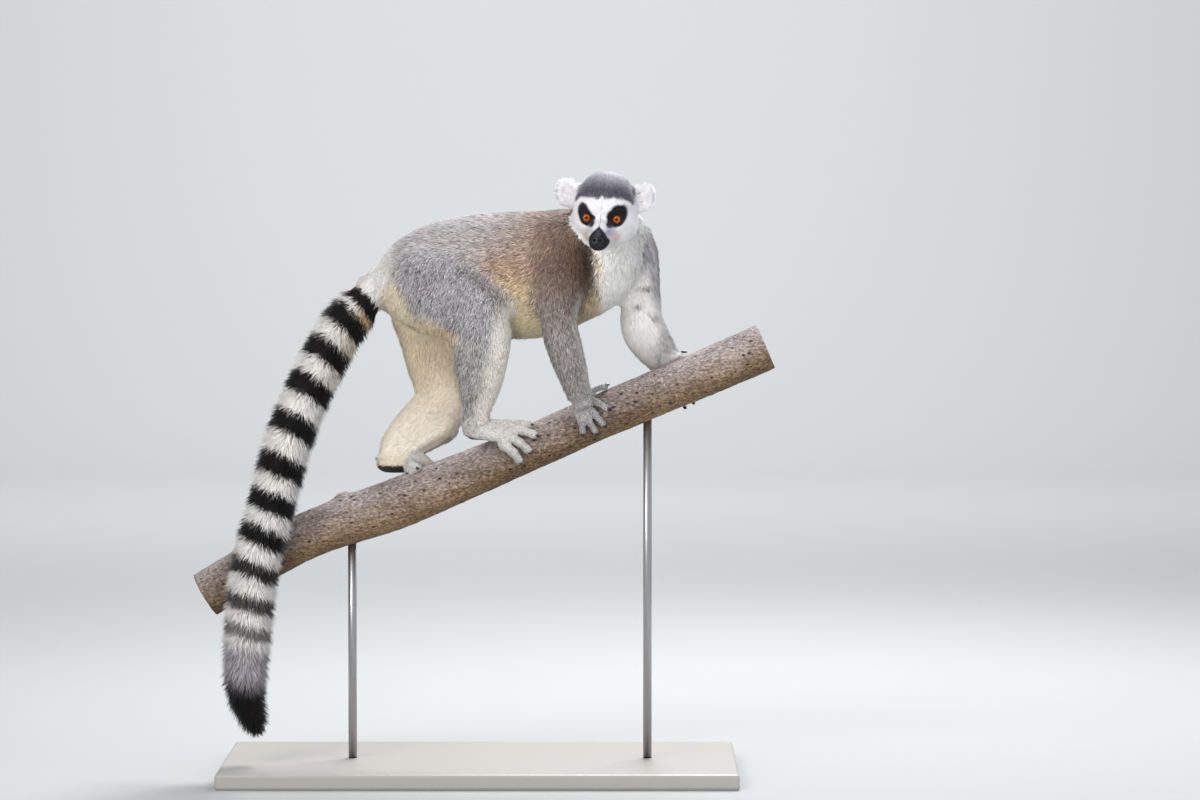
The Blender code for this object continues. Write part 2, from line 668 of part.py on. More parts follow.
def main():
    clear_scene()
    parts = bpy.data.collections.new("ring_tailed_lemur")
    cutters = bpy.data.collections.new("cutters")
    bpy.context.scene.collection.children.link(parts)
    bpy.context.scene.collection.children.link(cutters)
    grey = material("coat_grey", (0.27, 0.26, 0.25), 0.9)
    white = material("coat_white", (0.75, 0.73, 0.70), 0.9)
    brown = material("coat_brown", (0.22, 0.16, 0.13), 0.9)
    dark = material("bare_skin_dark", (0.02, 0.02, 0.02), 0.6)
    coats = {name: grey for name, *_ in (*HEAD_PARTS, *LIMB_PARTS, *LIMB_ROOTS, *NECK_PARTS)}
    coats |= {"trunk": grey, "neck": brown, "muzzle": dark, "head": white}
    coats |= {"ear_right": white, "ear_left": white, "foot_right": white, "foot_left": white}
    ringed = material("coat_ringed", (0.36, 0.35, 0.34), 0.9)
    coats |= {f"tail_{i}": ringed for i in (1, 2, 3, 4)}
    make_body(parts, cutters, coats)
    make_eyes(parts, material("iris_orange", (0.50, 0.14, 0.01), 0.1))
    board = material("stand_board", (0.60, 0.58, 0.55), 0.6)
    steel = material("rod_steel", (0.45, 0.45, 0.46), 0.3)
    make_stand(parts, cutters, board, steel, material("bark", (0.19, 0.14, 0.12), 0.9))


main()
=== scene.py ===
# %% [markdown]
# # A ring-tailed lemur on its branch
# The solids of the frame give the animal's true outline, out to the tips of its coat. This script
# dresses them: one skin a coat's depth below them, a coat of small mesh tufts that follow the lie
# of the hair, wet eyes between lids, nails, bark on the branch and a plain stand.
# Everything is in metres, +Z up. The animal walks towards +X and turns its face to -Y, so its
# right side is the near one.

# %% Load the frame
import math

import bmesh
import bpy
import numpy as np
from mathutils import Matrix, Vector, noise
from mathutils.bvhtree import BVHTree


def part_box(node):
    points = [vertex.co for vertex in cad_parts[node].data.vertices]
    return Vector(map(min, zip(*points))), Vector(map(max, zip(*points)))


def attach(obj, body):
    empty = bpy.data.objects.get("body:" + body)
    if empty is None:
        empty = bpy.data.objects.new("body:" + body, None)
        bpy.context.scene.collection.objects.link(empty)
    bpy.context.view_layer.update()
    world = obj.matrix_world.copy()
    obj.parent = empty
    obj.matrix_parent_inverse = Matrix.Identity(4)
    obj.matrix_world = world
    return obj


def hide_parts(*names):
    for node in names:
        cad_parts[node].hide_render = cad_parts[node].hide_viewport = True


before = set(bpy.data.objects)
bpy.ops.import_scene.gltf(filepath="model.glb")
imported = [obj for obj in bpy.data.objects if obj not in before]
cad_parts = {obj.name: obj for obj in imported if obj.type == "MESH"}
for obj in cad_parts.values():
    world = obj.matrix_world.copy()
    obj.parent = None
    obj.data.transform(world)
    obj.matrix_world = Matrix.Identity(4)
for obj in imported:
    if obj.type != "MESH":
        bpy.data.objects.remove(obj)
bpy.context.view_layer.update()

MM = 0.001
NEAR = -1  # the sign of Y on the near side
FLESH = [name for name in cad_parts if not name.startswith(("stand_", "perch", "eye_"))]
print("flesh nodes:", len(FLESH))

# %% [markdown]
# ## Helpers
# The later steps say the same few things again and again, so those have short names: a finished
# bmesh becomes an object, rows of vertices are joined by faces, a mesh is read as arrays, and
# values pass smoothly from 0 to 1.

# %% Objects and meshes
def new_object(name, data):
    made = bpy.data.objects.new(name, data)
    bpy.context.scene.collection.objects.link(made)
    return made


def finished(mesh, name, smooth=True):
    """The object that a bmesh becomes."""
    data = bpy.data.meshes.new(name)
    mesh.to_mesh(data)
    mesh.free()
    if smooth:
        data.shade_smooth()
    return new_object(name, data)


def bridge(mesh, rows, closed=True):
    """Joins each row of vertices to the next by faces."""
    for low, high in zip(rows, rows[1:]):
        for face in zip(low, low[1:] + low[:closed], high[1:] + high[:closed], high):
            mesh.faces.new(face)


# %% Arrays
def read(items, field, width, kind=np.float32):
    values = np.empty(len(items) * width, kind)
    items.foreach_get(field, values)
    return values.reshape(-1, width)


def points_of(data):
    return read(data.vertices, "co", 3).astype(float)


def normals_of(data):
    return read(data.vertex_normals, "vector", 3).astype(float)


def edges_of(data):
    return read(data.edges, "vertices", 2, np.int32)


def set_points(data, points):
    data.vertices.foreach_set("co", points.astype(np.float32).ravel())
    data.update()


def step(value, low, high):
    """0 below low, 1 above high, and smooth between."""
    t = np.clip((value - low) / (high - low), 0, 1)
    return t * t * (3 - 2 * t)


def bell(value, middle, spread):
    """1 at the middle, falling away on both sides of it."""
    return np.exp(-(((value - middle) / spread) ** 2))


def unit(vectors):
    return vectors / np.maximum(np.linalg.norm(vectors, axis=-1, keepdims=True), 1e-12)


def dot(first, second):
    return np.einsum("ij,ij->i", first, second)


def folded(points, axis=0):
    """The points with one side of the middle plane laid over the other."""
    both = points.copy()
    both[:, axis] = np.abs(both[:, axis])
    return both


def seen_from(place, points):
    """World points in another frame's own coordinates."""
    turned = np.array(place.inverted())
    return points @ turned[:3, :3].T + turned[:3, 3]


def soften(values, edges, rounds, share=0.5):
    """Each vertex's value drawn towards its neighbours' mean, several times over."""
    flat = values.reshape(len(values), -1).copy()
    a, b = edges.T
    count = np.maximum(np.bincount(np.r_[a, b], minlength=len(flat)), 1)[:, None]
    for _ in range(rounds):
        sums = [
            np.bincount(np.r_[a, b], np.r_[column[b], column[a]], len(flat)) for column in flat.T
        ]
        flat += (np.stack(sums, 1) / count - flat) * share
    return flat.reshape(values.shape)


# %% [markdown]
# ## Landmarks
# The eyes' places come from the frame, and they carry the head's own axes: x to the animal's left,
# -y ahead, z up. The branch and the tail each follow one smooth curve, and the digits lie round
# the branch, so those lines are named once and shared by the skin, the coat and the bark.

# %% Smooth lines through a few points
def spline(knots, steps):
    """Points on a smooth curve through the knots, which are rows of any one length."""
    knots = np.array(knots, float)
    ends = np.vstack([2 * knots[0] - knots[1], knots, 2 * knots[-1] - knots[-2]])
    t = (np.arange(steps) / steps)[:, None]
    rows = []
    for a, b, c, d in zip(ends, ends[1:], ends[2:], ends[3:]):
        bend = (c - a) * t + (2 * a - 5 * b + 4 * c - d) * t**2
        rows.append(b + (bend + (3 * b - a - 3 * c + d) * t**3) / 2)
    return np.vstack([*rows, knots[-1:]])


PERCH_LINE = spline(
    [
        (-0.322, 0.210, 0.0270),
        (-0.211, 0.276, 0.0272),
        (-0.094, 0.319, 0.0295),
        (0.023, 0.367, 0.0265),
        (0.140, 0.419, 0.0260),
        (0.257, 0.468, 0.0268),
        (0.335, 0.502, 0.0275),
    ],
    40,
)
TAIL_LINE = spline(
    [
        (-0.100, 0.012, 0.582),
        (-0.138, 0.002, 0.551),
        (-0.166, -0.012, 0.515),
        (-0.203, -0.034, 0.441),
        (-0.225, -0.050, 0.380),
        (-0.242, -0.059, 0.312),
        (-0.259, -0.061, 0.250),
        (-0.266, -0.061, 0.195),
        (-0.270, -0.060, 0.146),
        (-0.271, -0.059, 0.100),
        (-0.262, -0.057, 0.070),
        (-0.256, -0.056, 0.048),
    ],
    24,
)
TAIL_ALONG = np.r_[0, np.cumsum(np.linalg.norm(np.diff(TAIL_LINE, axis=0), axis=1))]
print("tail length, mm:", round(TAIL_ALONG[-1] / MM))


def perch_at(x):
    """The branch's axis point, direction and radius at x."""
    z, radius = (np.interp(x, PERCH_LINE[:, 0], PERCH_LINE[:, i]) for i in (1, 2))
    slope = np.interp(x, PERCH_LINE[:, 0], np.gradient(PERCH_LINE[:, 1], PERCH_LINE[:, 0]))
    return Vector((x, 0, z)), Vector((1, 0, slope)).normalized(), radius


def on_perch(x, degrees, lift):
    """A point over the bark at x: degrees are 0 on top and 90 on the near side."""
    _, ahead, radius = perch_at(x)
    turn = math.radians(degrees)
    out = ahead.cross(Vector((0, 1, 0))) * math.cos(turn) + Vector((0, NEAR, 0)) * math.sin(turn)
    return perch_at(x - out.x * (radius + lift))[0] + out * (radius + lift)


# %% The head's own frame
HEAD_TURN = math.radians(-7)
HEAD_ROLL = math.radians(3)
EYE_PLACE = Vector((0.0175, -0.0275, -0.0123))  # the left eye's middle; the right one mirrors it
EYE_RADIUS = (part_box("eye_left")[1][2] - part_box("eye_left")[0][2]) / 2


def middle(node):
    low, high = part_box(node)
    return (Vector(low) + Vector(high)) / 2


between_eyes = (middle("eye_left") + middle("eye_right")) / 2
HEAD = Matrix.Rotation(HEAD_TURN, 4, "Z") @ Matrix.Rotation(HEAD_ROLL, 4, "Y")
HEAD.translation = between_eyes - HEAD @ Vector((0, EYE_PLACE.y, EYE_PLACE.z))
print("head centre:", [round(v, 4) for v in HEAD.translation], "eye radius:", round(EYE_RADIUS, 4))


def in_head(points):
    """World points as the head sees them."""
    return seen_from(HEAD, points)


def from_head(points):
    turned = np.array(HEAD)
    return points @ turned[:3, :3].T + turned[:3, 3]


def eye_at(side):
    """The middle of an eye in the head's frame; side is 1 for the left one and -1 for the right."""
    return np.array((side * EYE_PLACE.x, EYE_PLACE.y, EYE_PLACE.z))


# %% [markdown]
# ## The skin
# Under its fur the animal has one unbroken skin. The flesh solids are swollen a hair's breadth, so
# that the thin cuts between them close, merged by a voxel remesh, and then drawn in by the depth
# of the coat at each place. The hands and feet are built afresh here, because their skin shows:
# every digit is a tube with knuckles and a pad, laid round the bark.

# %% What the coat is like on each part
# Hair length in mm, its lift off the skin, a tuft's width in mm, and tufts on a square millimetre
COAT = {
    "head": (6.0, 22, 0.62, 2.60),
    "muzzle": (1.6, 14, 0.40, 4.00),
    "ear": (9.5, 24, 0.62, 3.00),
    "neck": (12.5, 24, 0.90, 1.45),
    "trunk": (11.5, 24, 0.90, 1.22),
    "upper_arm": (10.5, 22, 0.82, 1.35),
    "forearm": (8.5, 20, 0.72, 1.50),
    "hand": (2.8, 14, 0.45, 2.80),
    "thigh": (11.0, 24, 0.90, 1.00),
    "shank": (9.0, 22, 0.86, 0.93),
    "foot": (4.0, 18, 0.52, 2.40),
    "tail": (20.0, 42, 1.05, 1.00),
}
DEEPEST = 0.30  # of the thickness of the flesh, the most that a coat may take from one side


def kind_of(node):
    return next(kind for kind in COAT if node.startswith(kind))


# %% Hands and feet: each digit as three places over the bark (x, degrees round it, lift)
DIGITS = {
    "hand_right": (
        ((0.116, 48, 0.011), (0.132, 18, 0.007), (0.149, 6, 0.0035)),
        ((0.124, 40, 0.010), (0.139, 60, 0.007), (0.151, 80, 0.0035)),
        ((0.121, 46, 0.011), (0.135, 80, 0.007), (0.146, 111, 0.0035)),
        ((0.117, 52, 0.011), (0.128, 88, 0.007), (0.137, 120, 0.0035)),
        ((0.113, 56, 0.010), (0.119, 84, 0.007), (0.1205, 108, 0.0035)),
    ),
    "hand_left": (
        ((0.222, -10, 0.009), (0.230, -2, 0.007), (0.239, 2, 0.0035)),
        ((0.228, -50, 0.008), (0.242, -85, 0.006), (0.252, -120, 0.0035)),
        ((0.226, -60, 0.008), (0.240, -105, 0.006), (0.250, -150, 0.0035)),
        ((0.222, -65, 0.008), (0.232, -110, 0.006), (0.240, -155, 0.0035)),
        ((0.217, -65, 0.008), (0.220, -100, 0.006), (0.224, -140, 0.0035)),
    ),
    "foot_right": (
        ((0.006, 18, 0.018), (0.022, -34, 0.010), (0.030, -78, 0.0040)),
        ((0.030, 20, 0.012), (0.046, 26, 0.009), (0.060, 36, 0.0040)),
        ((0.032, 34, 0.012), (0.051, 50, 0.009), (0.066, 68, 0.0040)),
        ((0.032, 48, 0.012), (0.047, 70, 0.009), (0.058, 94, 0.0040)),
        ((0.028, 60, 0.011), (0.040, 84, 0.009), (0.047, 106, 0.0040)),
    ),
    "foot_left": (
        ((-0.086, -4, 0.011), (-0.080, 14, 0.008), (-0.073, 31, 0.0045)),
        ((-0.056, -58, 0.009), (-0.036, -66, 0.007), (-0.016, -78, 0.0040)),
        ((-0.058, -72, 0.009), (-0.040, -88, 0.007), (-0.024, -104, 0.0040)),
        ((-0.062, -82, 0.009), (-0.050, -104, 0.007), (-0.038, -126, 0.0040)),
        ((-0.068, -88, 0.009), (-0.062, -112, 0.007), (-0.056, -134, 0.0040)),
    ),
}
# The palm and sole of each, as (x, y, z, half width, half height), and the way of their width
PALMS = {
    "hand_right": (
        (
            (0.1110, -0.040, 0.462, 0.0175, 0.0150),
            (0.1165, -0.037, 0.449, 0.0150, 0.0128),
            (0.1200, -0.036, 0.440, 0.0125, 0.0095),
            (0.1225, -0.037, 0.432, 0.0100, 0.0065),
        ),
        (1, 0, 0),
    ),
    "hand_left": (
        (
            (0.208, 0.013, 0.496, 0.0225, 0.0180),
            (0.216, 0.018, 0.488, 0.0180, 0.0150),
            (0.223, 0.024, 0.482, 0.0135, 0.0110),
            (0.229, 0.033, 0.471, 0.0112, 0.0070),
            (0.233, 0.037, 0.460, 0.0080, 0.0045),
        ),
        (1, 0, 0),
    ),
    "foot_right": (
        (
            (-0.018, -0.014, 0.404, 0.0060, 0.0065),
            (-0.010, -0.016, 0.405, 0.0115, 0.0118),
            (0.008, -0.019, 0.405, 0.0145, 0.0105),
            (0.028, -0.022, 0.403, 0.0158, 0.0080),
            (0.042, -0.024, 0.400, 0.0120, 0.0050),
        ),
        (0, -0.8, -0.6),
    ),
    "foot_left": (
        (
            (-0.121, 0.009, 0.366, 0.0070, 0.0075),
            (-0.112, 0.010, 0.366, 0.0130, 0.0128),
            (-0.092, 0.012, 0.367, 0.0145, 0.0145),
            (-0.076, 0.022, 0.364, 0.0145, 0.0115),
            (-0.062, 0.033, 0.353, 0.0135, 0.0085),
            (-0.052, 0.037, 0.346, 0.0100, 0.0050),
        ),
        (0, 0.8, -0.6),
    ),
}
# The lower end of the near shank, which runs down into the foot
ANKLE = (
    (-0.002, -0.027, 0.440, 0.0205, 0.0178),
    (-0.006, -0.021, 0.420, 0.0160, 0.0148),
    (-0.010, -0.018, 0.406, 0.0115, 0.0120),
)
# The ball of the far foot's first digit, which shows beside its heel
TOE_BALL = ((-0.0785, -0.003, 0.3580), (0.0105, 0.0105, 0.0085))
DIGIT_RADIUS = {"hand": 0.0038, "foot": 0.0045}
# Along a digit: how far, and how thick there: knuckle, waist, knuckle, pad and tip
DIGIT_SHAPE = (
    (0, 1.35),
    (0.22, 1.08),
    (0.45, 1.10),
    (0.62, 0.88),
    (0.84, 0.98),
    (0.95, 0.86),
    (1, 0.45),
)
DIGIT_ACROSS = (0.6, 0.2, 0.7)
DIGIT_STEPS = 12


def add_tube(mesh, stations, across, sides=14, steps=5):
    """A closed tube through stations of (x, y, z, half width, half height).

    Its width lies along across.
    """
    rows = spline(stations, steps)
    across = Vector(across)
    rings = []
    for i, row in enumerate(rows):
        ahead = Vector(rows[min(i + 1, len(rows) - 1)][:3] - rows[max(i - 1, 0)][:3]).normalized()
        side = (across - across.project(ahead)).normalized()
        up = ahead.cross(side)
        turns = [math.tau * k / sides for k in range(sides)]
        spokes = [side * (row[3] * math.cos(t)) + up * (row[4] * math.sin(t)) for t in turns]
        rings.append([mesh.verts.new(Vector(row[:3]) + spoke) for spoke in spokes])
    bridge(mesh, rings)
    mesh.faces.new(rings[0][::-1])
    mesh.faces.new(rings[-1])
    return sum(rings, [])


def digit_line(places):
    """A digit's middle line from its root to its tip."""
    return spline([on_perch(*place) for place in places], DIGIT_STEPS)


def add_hand(mesh, node):
    """The palm, and each digit with the long bone that carries it inside the palm."""
    stations, across = PALMS[node]
    thick = DIGIT_RADIUS[kind_of(node)]
    add_tube(mesh, stations, across, sides=24)
    if node == "foot_left":
        middle, radii = TOE_BALL
        add_ball(mesh, Matrix.Translation(middle), radii)
    for places in DIGITS[node]:
        line = digit_line(places)
        inside = min(stations[1:-1], key=lambda row: (Vector(row[:3]) - Vector(line[0])).length)
        girth = DIGIT_SHAPE[0][1] * thick
        bone = [(*inside[:3], girth, girth), (*line[0], girth, girth), (*line[3], girth, girth)]
        add_tube(mesh, bone, DIGIT_ACROSS)
        along = np.linspace(0, 1, len(line))
        rows = []
        for share, girth in DIGIT_SHAPE:
            point = [np.interp(share, along, line[:, i]) for i in range(3)]
            rows.append((*point, girth * thick, girth * thick))
        add_tube(mesh, rows, DIGIT_ACROSS, steps=4)


# %% The head's forms, in its own frame
SKULL = ((0, 0, 0.002), (0.038, 0.043, 0.040))
FACE = ((0, -0.006, -0.014), (0.038, 0.032, 0.034))
# From inside the face to the tip of the nose: x, y, z, half width, half height
MUZZLE = (
    (0, -0.014, -0.0220, 0.0255, 0.0240),
    (0, -0.032, -0.0275, 0.0182, 0.0195),
    (0, -0.045, -0.0340, 0.0130, 0.0150),
    (0, -0.054, -0.0378, 0.0110, 0.0120),
    (0, -0.061, -0.0392, 0.0088, 0.0088),
    (0, -0.0645, -0.0390, 0.0045, 0.0045),
)
EAR_PLACE = {1: (0.0375, 0.004, 0.0125), -1: (0.0415, 0.004, 0.0135)}
EAR_SIZE = (0.0165, 0.0085, 0.0190)
EAR_LEAN = math.radians(25)


def add_ball(mesh, place, radii):
    ball = place @ Matrix.Diagonal((*radii, 1))
    bmesh.ops.create_uvsphere(mesh, u_segments=48, v_segments=24, radius=1, matrix=ball)


def ear_frame(side):
    """An ear's own frame: x outwards and back in the ear's plane, y through it, z up."""
    out, back, up = EAR_PLACE[side]
    place = Matrix.Translation((side * out, back, up))
    return HEAD @ place @ Matrix.Rotation(side * EAR_LEAN, 4, "Y")


def add_head(mesh):
    for place, radii in (SKULL, FACE):
        add_ball(mesh, HEAD @ Matrix.Translation(place), radii)
    for side in (-1, 1):
        add_ball(mesh, ear_frame(side), EAR_SIZE)
    muzzle = add_tube(mesh, MUZZLE, (1, 0, 0), sides=32)
    bmesh.ops.transform(mesh, matrix=HEAD, verts=muzzle)


# %% Merge the flesh
VOXEL = 0.0014
CUT_CLOSING = 0.0007
FINE = ("head", "muzzle", "ear", "hand", "foot")


def baked(thing):
    """The mesh that an object's modifiers make, with the modifiers then taken off."""
    graph = bpy.context.evaluated_depsgraph_get()
    data = bpy.data.meshes.new_from_object(thing.evaluated_get(graph), depsgraph=graph)
    thing.modifiers.clear()
    thing.data = data
    return data


def swollen_solid(node):
    """A CAD node's mesh with its corners joined, swollen a little."""
    mesh = bmesh.new()
    mesh.from_mesh(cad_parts[node].data)
    bmesh.ops.remove_doubles(mesh, verts=mesh.verts, dist=1e-6)
    mesh.normal_update()
    for vert in mesh.verts:
        vert.co += vert.normal * CUT_CLOSING
    return mesh


def merged_flesh():
    whole = bmesh.new()
    part = bpy.data.meshes.new("part")
    for node in FLESH:
        if kind_of(node) in FINE:
            continue
        mesh = swollen_solid(node)
        mesh.to_mesh(part)
        mesh.free()
        whole.from_mesh(part)
    for node in DIGITS:
        add_hand(whole, node)
    add_tube(whole, ANKLE, (1, 0, 0), sides=24)
    add_head(whole)
    flesh = new_object("flesh", bpy.data.meshes.new("flesh"))
    whole.to_mesh(flesh.data)
    whole.free()
    merge = flesh.modifiers.new("merge", "REMESH")
    merge.mode = "VOXEL"
    merge.voxel_size = VOXEL
    baked(flesh)
    return flesh


skin = merged_flesh()
print("merged:", len(skin.data.polygons), "faces")


# %% Which solid each bit of skin belongs to
def flesh_tree():
    """A search tree over the flesh solids' triangles, and each triangle's node number."""
    corners, faces, owners = [], [], []
    for number, node in enumerate(FLESH):
        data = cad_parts[node].data
        start = len(corners)
        corners += [vert.co.copy() for vert in data.vertices]
        faces += [[start + v for v in face.vertices] for face in data.polygons]
        owners += [number] * len(data.polygons)
    return BVHTree.FromPolygons(corners, faces), np.array(owners)


TREE, OWNERS = flesh_tree()


def node_numbers(points):
    return OWNERS[[TREE.find_nearest(Vector(point))[2] for point in points]]


def of_kind(numbers, value):
    """value(node) for each vertex's node."""
    return np.array([value(node) for node in FLESH], float)[numbers]


def part_of(numbers, *starts):
    """1 where the vertex's node is one of these parts, and 0 elsewhere."""
    return of_kind(numbers, lambda node: node.startswith(starts))


HEAD_PARTS = ("head", "muzzle", "ear")


# %% Keep the one outer skin, and smooth the solids' facets away
def largest_piece(data, edges):
    """True for the vertices of the mesh's largest connected piece."""
    label = np.arange(len(data.vertices))
    while True:
        low = np.minimum(*label[edges].T)
        new = label.copy()
        np.minimum.at(new, edges[:, 0], low)
        np.minimum.at(new, edges[:, 1], low)
        new = new[new]
        if (new == label).all():
            return label == np.bincount(label).argmax()
        label = new


def drop_points(data, kept):
    mesh = bmesh.new()
    mesh.from_mesh(data)
    bmesh.ops.delete(mesh, geom=[v for v in mesh.verts if not kept[v.index]], context="VERTS")
    mesh.to_mesh(data)
    mesh.free()


drop_points(skin.data, largest_piece(skin.data, edges_of(skin.data)))
edges = edges_of(skin.data)
points = points_of(skin.data)
numbers = node_numbers(points)
coarse = soften(1 - part_of(numbers, *FINE), edges, 8)
smooth = soften(points, edges, 80)
points += (smooth - points) * coarse[:, None]
# The tail's root is smoothed further, so that it leaves the rump without a fold
TAIL_ROOT = TAIL_LINE[10]
tail_root = 1 - step(np.linalg.norm(points - TAIL_ROOT, axis=1), 0.018, 0.050)
points += (soften(points, edges, 120) - points) * tail_root[:, None]
points = soften(points, edges, 6)
set_points(skin.data, points)


# %% Draw the skin in by the depth of the coat
THICKEST = 0.1
RAY_START = MM
HAIR_BEND = 0.06  # of its length, how far a hair's arch stands off the skin


def flesh_thickness(data, points, normals):
    """How far it is through the flesh, straight in from each vertex."""
    tree = BVHTree.FromPolygons([Vector(p) for p in points], [f.vertices for f in data.polygons])
    thickness = np.full(len(points), THICKEST)
    for i, (point, normal) in enumerate(zip(points, normals)):
        inward = -Vector(normal)
        distance = tree.ray_cast(Vector(point) + inward * RAY_START, inward, THICKEST)[3]
        if distance is not None:
            thickness[i] = distance + RAY_START
    return thickness


def coat_depth(node):
    """How deep the coat lies: its hairs' rise off the skin, and a little for their bend."""
    if node in DIGITS:
        return 0
    length, lift = COAT[kind_of(node)][:2]
    return length * MM * (math.sin(math.radians(lift)) + HAIR_BEND)


normals = normals_of(skin.data)
thickness = soften(flesh_thickness(skin.data, points, normals), edges, 12)
depth = of_kind(numbers, coat_depth)
on_head = part_of(numbers, *HEAD_PARTS) > 0
depth = np.where(on_head, soften(depth, edges, 10), soften(depth, edges, 110))
depth = np.minimum(soften(depth, edges, 10), DEEPEST * thickness)
# The coat is thinnest round the eyes, so that they sit at the face's surface
head_points = in_head(points)
for side in (-1, 1):
    to_eye = np.linalg.norm(head_points - eye_at(side), axis=1)
    depth *= 0.45 + 0.55 * step(to_eye, 0.009, 0.019)
points -= soften(normals, edges, 6) * depth[:, None]
points = soften(points, edges, 3)
set_points(skin.data, points)
print("coat depth, mm:", round(depth.min() / MM, 2), "to", round(depth.max() / MM, 2))

# %% [markdown]
# ## The face
# A lemur's face is narrow and foxlike: a wet black nose with comma-shaped nostrils at the end of
# the muzzle, a mouth that runs far back, and large round eyes whose lids sit tight on the ball.
# Each of these is a small smooth move of the skin's own vertices, so no seam can show. The face is
# first given a finer grid, because a lid is under a millimetre thick.

# %% A finer grid on the face
def refine(data, chosen):
    mesh = bmesh.new()
    mesh.from_mesh(data)
    mesh.verts.ensure_lookup_table()
    inner = [e for e in mesh.edges if chosen[e.verts[0].index] and chosen[e.verts[1].index]]
    bmesh.ops.subdivide_edges(mesh, edges=inner, cuts=1, use_grid_fill=True, smooth=0)
    bmesh.ops.triangulate(mesh, faces=[f for f in mesh.faces if len(f.verts) > 4])
    mesh.to_mesh(data)
    mesh.free()


def near_eyes(seen):
    """How far each point in the head's frame is from the nearer eye's middle."""
    return np.linalg.norm(folded(seen) - eye_at(1), axis=1)


x, y, z = in_head(points).T
refine(skin.data, (y < -0.016) & (np.abs(x) < 0.034) & (np.abs(z + 0.022) < 0.034))
seen = in_head(points_of(skin.data))
snout = (seen[:, 1] < -0.050) & (np.abs(seen[:, 0]) < 0.02)
refine(skin.data, (near_eyes(seen) < 0.0125) | snout)
edges = edges_of(skin.data)
points = points_of(skin.data)
seen = in_head(points)
on_face = step(-seen[:, 1], 0.016, 0.020) * step(-np.linalg.norm(seen, axis=1), -0.080, -0.074)
points += (soften(points, edges, 6) - points) * on_face[:, None]
set_points(skin.data, points)
print("skin:", len(skin.data.polygons), "faces")


# %% Nose, nostrils and mouth
def near_line(points, line):
    """Each point's distance to a line of rows, and how far along it the nearest row is."""
    gaps = np.linalg.norm(points[:, None] - line[None], axis=2)
    return gaps.min(1), gaps.argmin(1) / (len(line) - 1)


NOSE_TIP = np.array((0, -0.0640, -0.0385))
NOSTRIL = np.array((0.0034, -0.0640, -0.0372))
LIPS = (
    (0, -0.0615, -0.0462),
    (0.0070, -0.0570, -0.0455),
    (0.0120, -0.0480, -0.0415),
    (0.0165, -0.0370, -0.0365),
)
PAD_RISE = 0.0009
GROOVE_DEPTH = 0.0007
NOSTRIL_DEPTH = 0.0030
NOSTRIL_SIZE = 0.0013
LIP_DEPTH = 0.0013
LIP_RISE = 0.0006
BROW_RISE = 0.0016

seen = in_head(points)
face = np.nonzero((seen[:, 1] < -0.014) & (np.linalg.norm(seen, axis=1) < 0.085))[0]
local = seen[face]
outward = normals_of(skin.data)[face] @ np.array(HEAD)[:3, :3]
mirrored = folded(local)

# The nose pad stands a little proud of the muzzle, squarer than the flesh behind it
pad = 1 - step(np.linalg.norm((local - NOSE_TIP) / (1, 1, 0.85), axis=1), 0.0045, 0.0075)
move = outward * (PAD_RISE * pad)[:, None]
# A groove runs from the pad down to the lip
groove = bell(local[:, 0], 0, 0.0008) * step(-local[:, 2], 0.0385, 0.0405)
groove *= step(-local[:, 1], 0.050, 0.056) * (1 - step(-local[:, 2], 0.0450, 0.0475))
move -= outward * (GROOVE_DEPTH * groove)[:, None]
# The nostrils open forwards and curl out to the sides
dent = bell(np.linalg.norm((mirrored - NOSTRIL) / (1.35, 1.5, 0.85), axis=1), 0, NOSTRIL_SIZE)
move += np.array((0, 1, 0)) * (NOSTRIL_DEPTH * dent)[:, None]
# The lips meet in a line below the nose, with a fuller lip over it
lips = spline(LIPS, 14)
gap, along = near_line(mirrored, lips)
move -= outward * (LIP_DEPTH * bell(gap, 0, 0.0008) * (1 - 0.6 * along))[:, None]
above = bell(gap, 0.0026, 0.0018) * (1 - 0.5 * along)
move += outward * (LIP_RISE * above)[:, None]
# A brow stands over each eye
from_eye = mirrored - eye_at(1)
ring = np.hypot(from_eye[:, 0] * 0.85, from_eye[:, 2])
brow = bell(ring, 0.0115, 0.0035) * step(from_eye[:, 2], -0.001, 0.007)
move += outward * (BROW_RISE * brow)[:, None]
points[face] += move @ np.array(HEAD)[:3, :3].T

# %% [markdown]
# The eyeball fills its lids. Inside the opening the skin dips under the ball's surface, and round
# it the skin lies on the ball as a lid, so the rim is the smooth line where the two cross.

# %% Lids over the eyeballs
OPENING = (math.radians(42), math.radians(37))  # half the opening across, and up or down
LID_THICKNESS = 0.0005
LID_FOLD = 0.0004
RIM_CATCH = math.radians(5)


